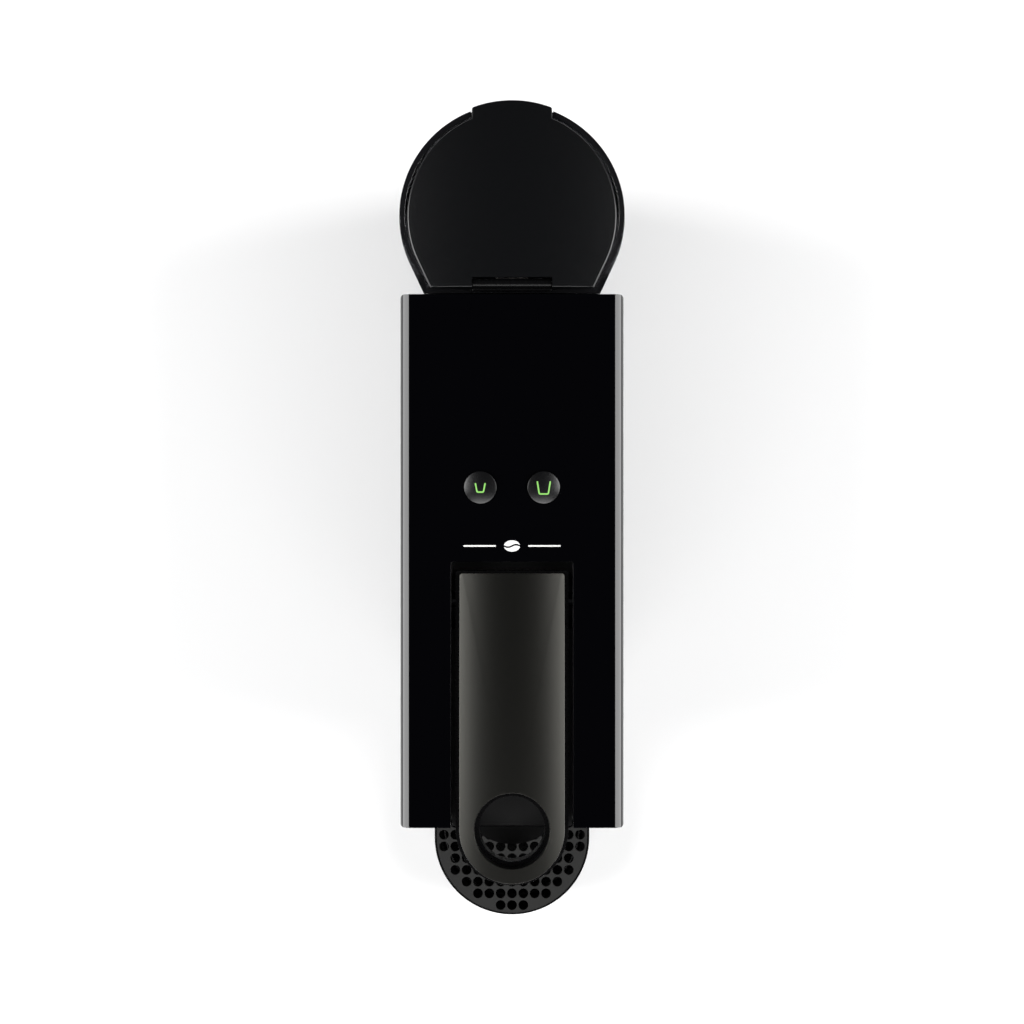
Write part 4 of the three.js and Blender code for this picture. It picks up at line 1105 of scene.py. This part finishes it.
# ---- springs
@dataclass
class Spring:
    """A coil spring wound over the height of its CAD node.

    Its wire follows (x + R cos a, y + R sin a, z) with a = 2 pi turns t and z rising evenly with t.
    """

    node: str
    beside: str
    body: str
    joint: str
    coil: float
    wire: float
    turns: float
    travel: float
    held_on_top: bool = False
    steps_per_turn: int = 40
    wire_sides: int = 12

    def _wire(self, low: Vector, high: Vector) -> Points:
        """Rings of the wire: centre line + wire * (cos u outward + sin u across)."""
        beside_low, beside_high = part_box(self.beside)
        centre = (beside_low + beside_high) / 2
        share = np.linspace(0, 1, round(self.turns * self.steps_per_turn) + 1)
        angle = 2 * np.pi * self.turns * share
        flat = np.zeros_like(angle)
        outward = np.column_stack([np.cos(angle), np.sin(angle), flat])
        rise = (high.z - low.z - 2 * self.wire) / (2 * np.pi * self.turns * self.coil)
        heading = np.column_stack([-np.sin(angle), np.cos(angle), flat + rise]) / math.hypot(1, rise)
        across = np.cross(heading, outward)
        level = low.z + self.wire + (high.z - low.z - 2 * self.wire) * share
        line = outward * self.coil + np.column_stack([flat + centre.x, flat + centre.y, level])
        turn = np.linspace(0, 2 * np.pi, self.wire_sides, endpoint=False)[None, :, None]
        section = np.cos(turn) * outward[:, None] + np.sin(turn) * across[:, None]
        return line[:, None] + self.wire * section

    def build(self) -> None:
        """Winds the wire and gives it its finish."""
        low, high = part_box(self.node)
        skin = stack(f"{self.node}_skin", self._wire(low, high), wrap=False)
        dress(soften(skin, 0.0), BRIGHT_STEEL, Slot.STEEL, self.body, self.node)
        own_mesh(skin)


SPRINGS = (
    *(Spring(f"{name}_button_spring", f"{name}_button", "chassis", f"{name}_press",
             coil=4.2 * MM, wire=0.35 * MM, turns=3.5, travel=1.2 * MM) for name in ("espresso", "lungo")),
    Spring("tank_valve_spring", "tank_valve_poppet", "tank", "tank_valve_lift",
           coil=2.5 * MM, wire=0.3 * MM, turns=4.0, travel=2.0 * MM, held_on_top=True),
)


# ---- parts that keep their CAD shape
@dataclass
class Carried:
    """CAD nodes that keep their shape: some as softened copies, the rest with a finish only."""

    softened: dict[str, float] = field(default_factory=lambda: {
        "lever_channel": 0.35 * MM,
        "base_plate": 0.5 * MM,
        "rear_panel": 0.4 * MM,
        "head_bottom_cover": 0.4 * MM,
        "bay_wall": 0.3 * MM,
        "tank_dock": 0.4 * MM,
        "brew_frame": 0.3 * MM,
        "cage_carriage": 0.3 * MM,
        "thermoblock": 0.6 * MM,
        "control_board": 0.15 * MM,
        "power_board": 0.4 * MM,
        "button_guide": 0.2 * MM,
        "pump_coil": 0.5 * MM,
    })

    blackened: tuple[str, ...] = ("lever_shaft", "lid_hinge_pin")

    def build(self, replaced: set[str]) -> None:
        """Dresses every node that no piece has replaced yet.

        Args:
            replaced: The nodes that already have a piece.
        """
        record = frame["record"]
        slots = {part["node"]: Slot(part["material_slot"]) for part in record["subparts"]}
        bodies = {node: body for body, nodes in record["behaviour"]["bodies"].items() for node in nodes}
        for node, width in self.softened.items():
            dress(refined_copy(node, width), SLOT_FINISH[slots[node]], slots[node], bodies[node], node)
        for node, shown in frame["nodes"].items():
            if node in replaced or node in self.softened:
                continue
            finish = BLACKED_STEEL if node in self.blackened else SLOT_FINISH[slots[node]]
            material = finish.material()
            shown.data.materials.clear()
            shown.data.materials.append(material)
            log.info("%s: CAD shape, %s", node, material.name)


# ---- studio
@dataclass(frozen=True)
class Softbox:
    """A rectangular studio light that faces a point on the object."""

    name: str
    place: tuple[float, float, float]
    size: Pair
    watts: float
    aim: tuple[float, float, float] = (0.0, 0.0, 0.1)

    def build(self) -> None:
        """Hangs the light."""
        lamp = bpy.data.lights.new(self.name, "AREA")
        lamp.shape = "RECTANGLE"
        lamp.size, lamp.size_y = self.size
        lamp.energy = self.watts
        holder = placed(self.name, lamp)
        holder.location = self.place
        toward = Vector(self.aim) - Vector(self.place)
        holder.rotation_euler = toward.to_track_quat("-Z", "Y").to_euler()
        holder.visible_camera = False


@dataclass
class Studio:
    """A pale floor, side softboxes, a soft horizon and a camera that looks straight down."""

    camera_place: tuple[float, float, float] = (0.0, 12.56 * MM, 1038 * MM)
    lens: float = 79.6
    floor_half: float = 1.5
    floor_depth: float = 0.02
    horizon: Colour = (0.6, 0.6, 0.61, 1.0)
    low_sky: Colour = (0.15, 0.15, 0.155, 1.0)
    overhead: Colour = (0.01, 0.01, 0.012, 1.0)
    low_sky_at: float = 0.4
    overhead_at: float = 0.9
    boxes: tuple[Softbox, ...] = (
        Softbox("left_softbox", (-1.5, 0.0, 0.95), (1.0, 2.2), 60.0),
        Softbox("right_softbox", (1.5, 0.0, 0.95), (1.0, 2.2), 60.0),
        Softbox("front_softbox", (0.0, -1.0, 1.4), (1.2, 0.5), 12.0),
    )

    def _camera(self) -> None:
        """The camera, above the machine with the tank at the top of its view."""
        data = bpy.data.cameras.new("camera")
        data.lens = self.lens
        data.sensor_width = 36.0
        data.clip_start = 0.05
        camera = placed("camera", data)
        camera.location = self.camera_place
        bpy.context.scene.camera = camera

    def _floor(self) -> None:
        """A plain pale floor with a faint grain."""
        half = self.floor_half
        floor = prism("floor", band(half, -half, half), -self.floor_depth, 0.0)
        grey = (0.76, 0.76, 0.76, 1.0)
        finish = Finish("pale_floor", grey, 0.9, mottle=0.004, mottle_scale=2.0, specular=0.1)
        floor.data.materials.append(finish.material())

    def _world(self) -> None:
        """Soft light that is bright at the horizon and dark overhead."""
        world = bpy.data.worlds.new("studio")
        bpy.context.scene.world = world
        world.use_nodes = True
        nodes, links = world.node_tree.nodes, world.node_tree.links
        where = nodes.new("ShaderNodeTexCoord")
        split = nodes.new("ShaderNodeSeparateXYZ")
        ramp = nodes.new("ShaderNodeValToRGB")
        stops = ramp.color_ramp.elements
        stops[0].position, stops[0].color = 0.0, self.horizon
        stops[1].position, stops[1].color = self.overhead_at, self.overhead
        stops.new(self.low_sky_at).color = self.low_sky
        links.new(where.outputs["Generated"], split.inputs["Vector"])
        links.new(split.outputs["Z"], ramp.inputs["Fac"])
        links.new(ramp.outputs["Color"], nodes["Background"].inputs["Color"])
        nodes["Background"].inputs["Strength"].default_value = 1.0

    def build(self) -> None:
        """Sets up the camera, the floor and the lights."""
        bpy.context.scene.view_settings.view_transform = "Standard"
        self._camera()
        self._floor()
        self._world()
        for box in self.boxes:
            box.build()


def main() -> None:
    """Builds the studio, then the machine from its case to its inner parts."""
    logging.basicConfig(level=logging.INFO, format="%(name)s %(message)s")
    Studio().build()
    Case().build()
    mark = Mark().build(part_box("main_housing")[1].z)
    dress(mark, PRINTED_WHITE, Slot.SHELL, "chassis")
    Button("espresso_button", Cup.SMALL).build()
    Button("lungo_button", Cup.LARGE).build()
    Lever().build()
    Tank().build()
    BrewHead().build()
    DripTray().build()
    PodBin().build()
    for spring in SPRINGS:
        spring.build()
    replaced = {
        "main_housing", "espresso_button", "lungo_button", "lever_frame", "lever_cover", "water_tank",
        "tank_lid", "outlet_cowl", "coffee_spout", "drip_tray", "drip_grid", "capsule_container",
        *(spring.node for spring in SPRINGS),
    }
    Carried().build(replaced)


if __name__ == "__main__":
    main()
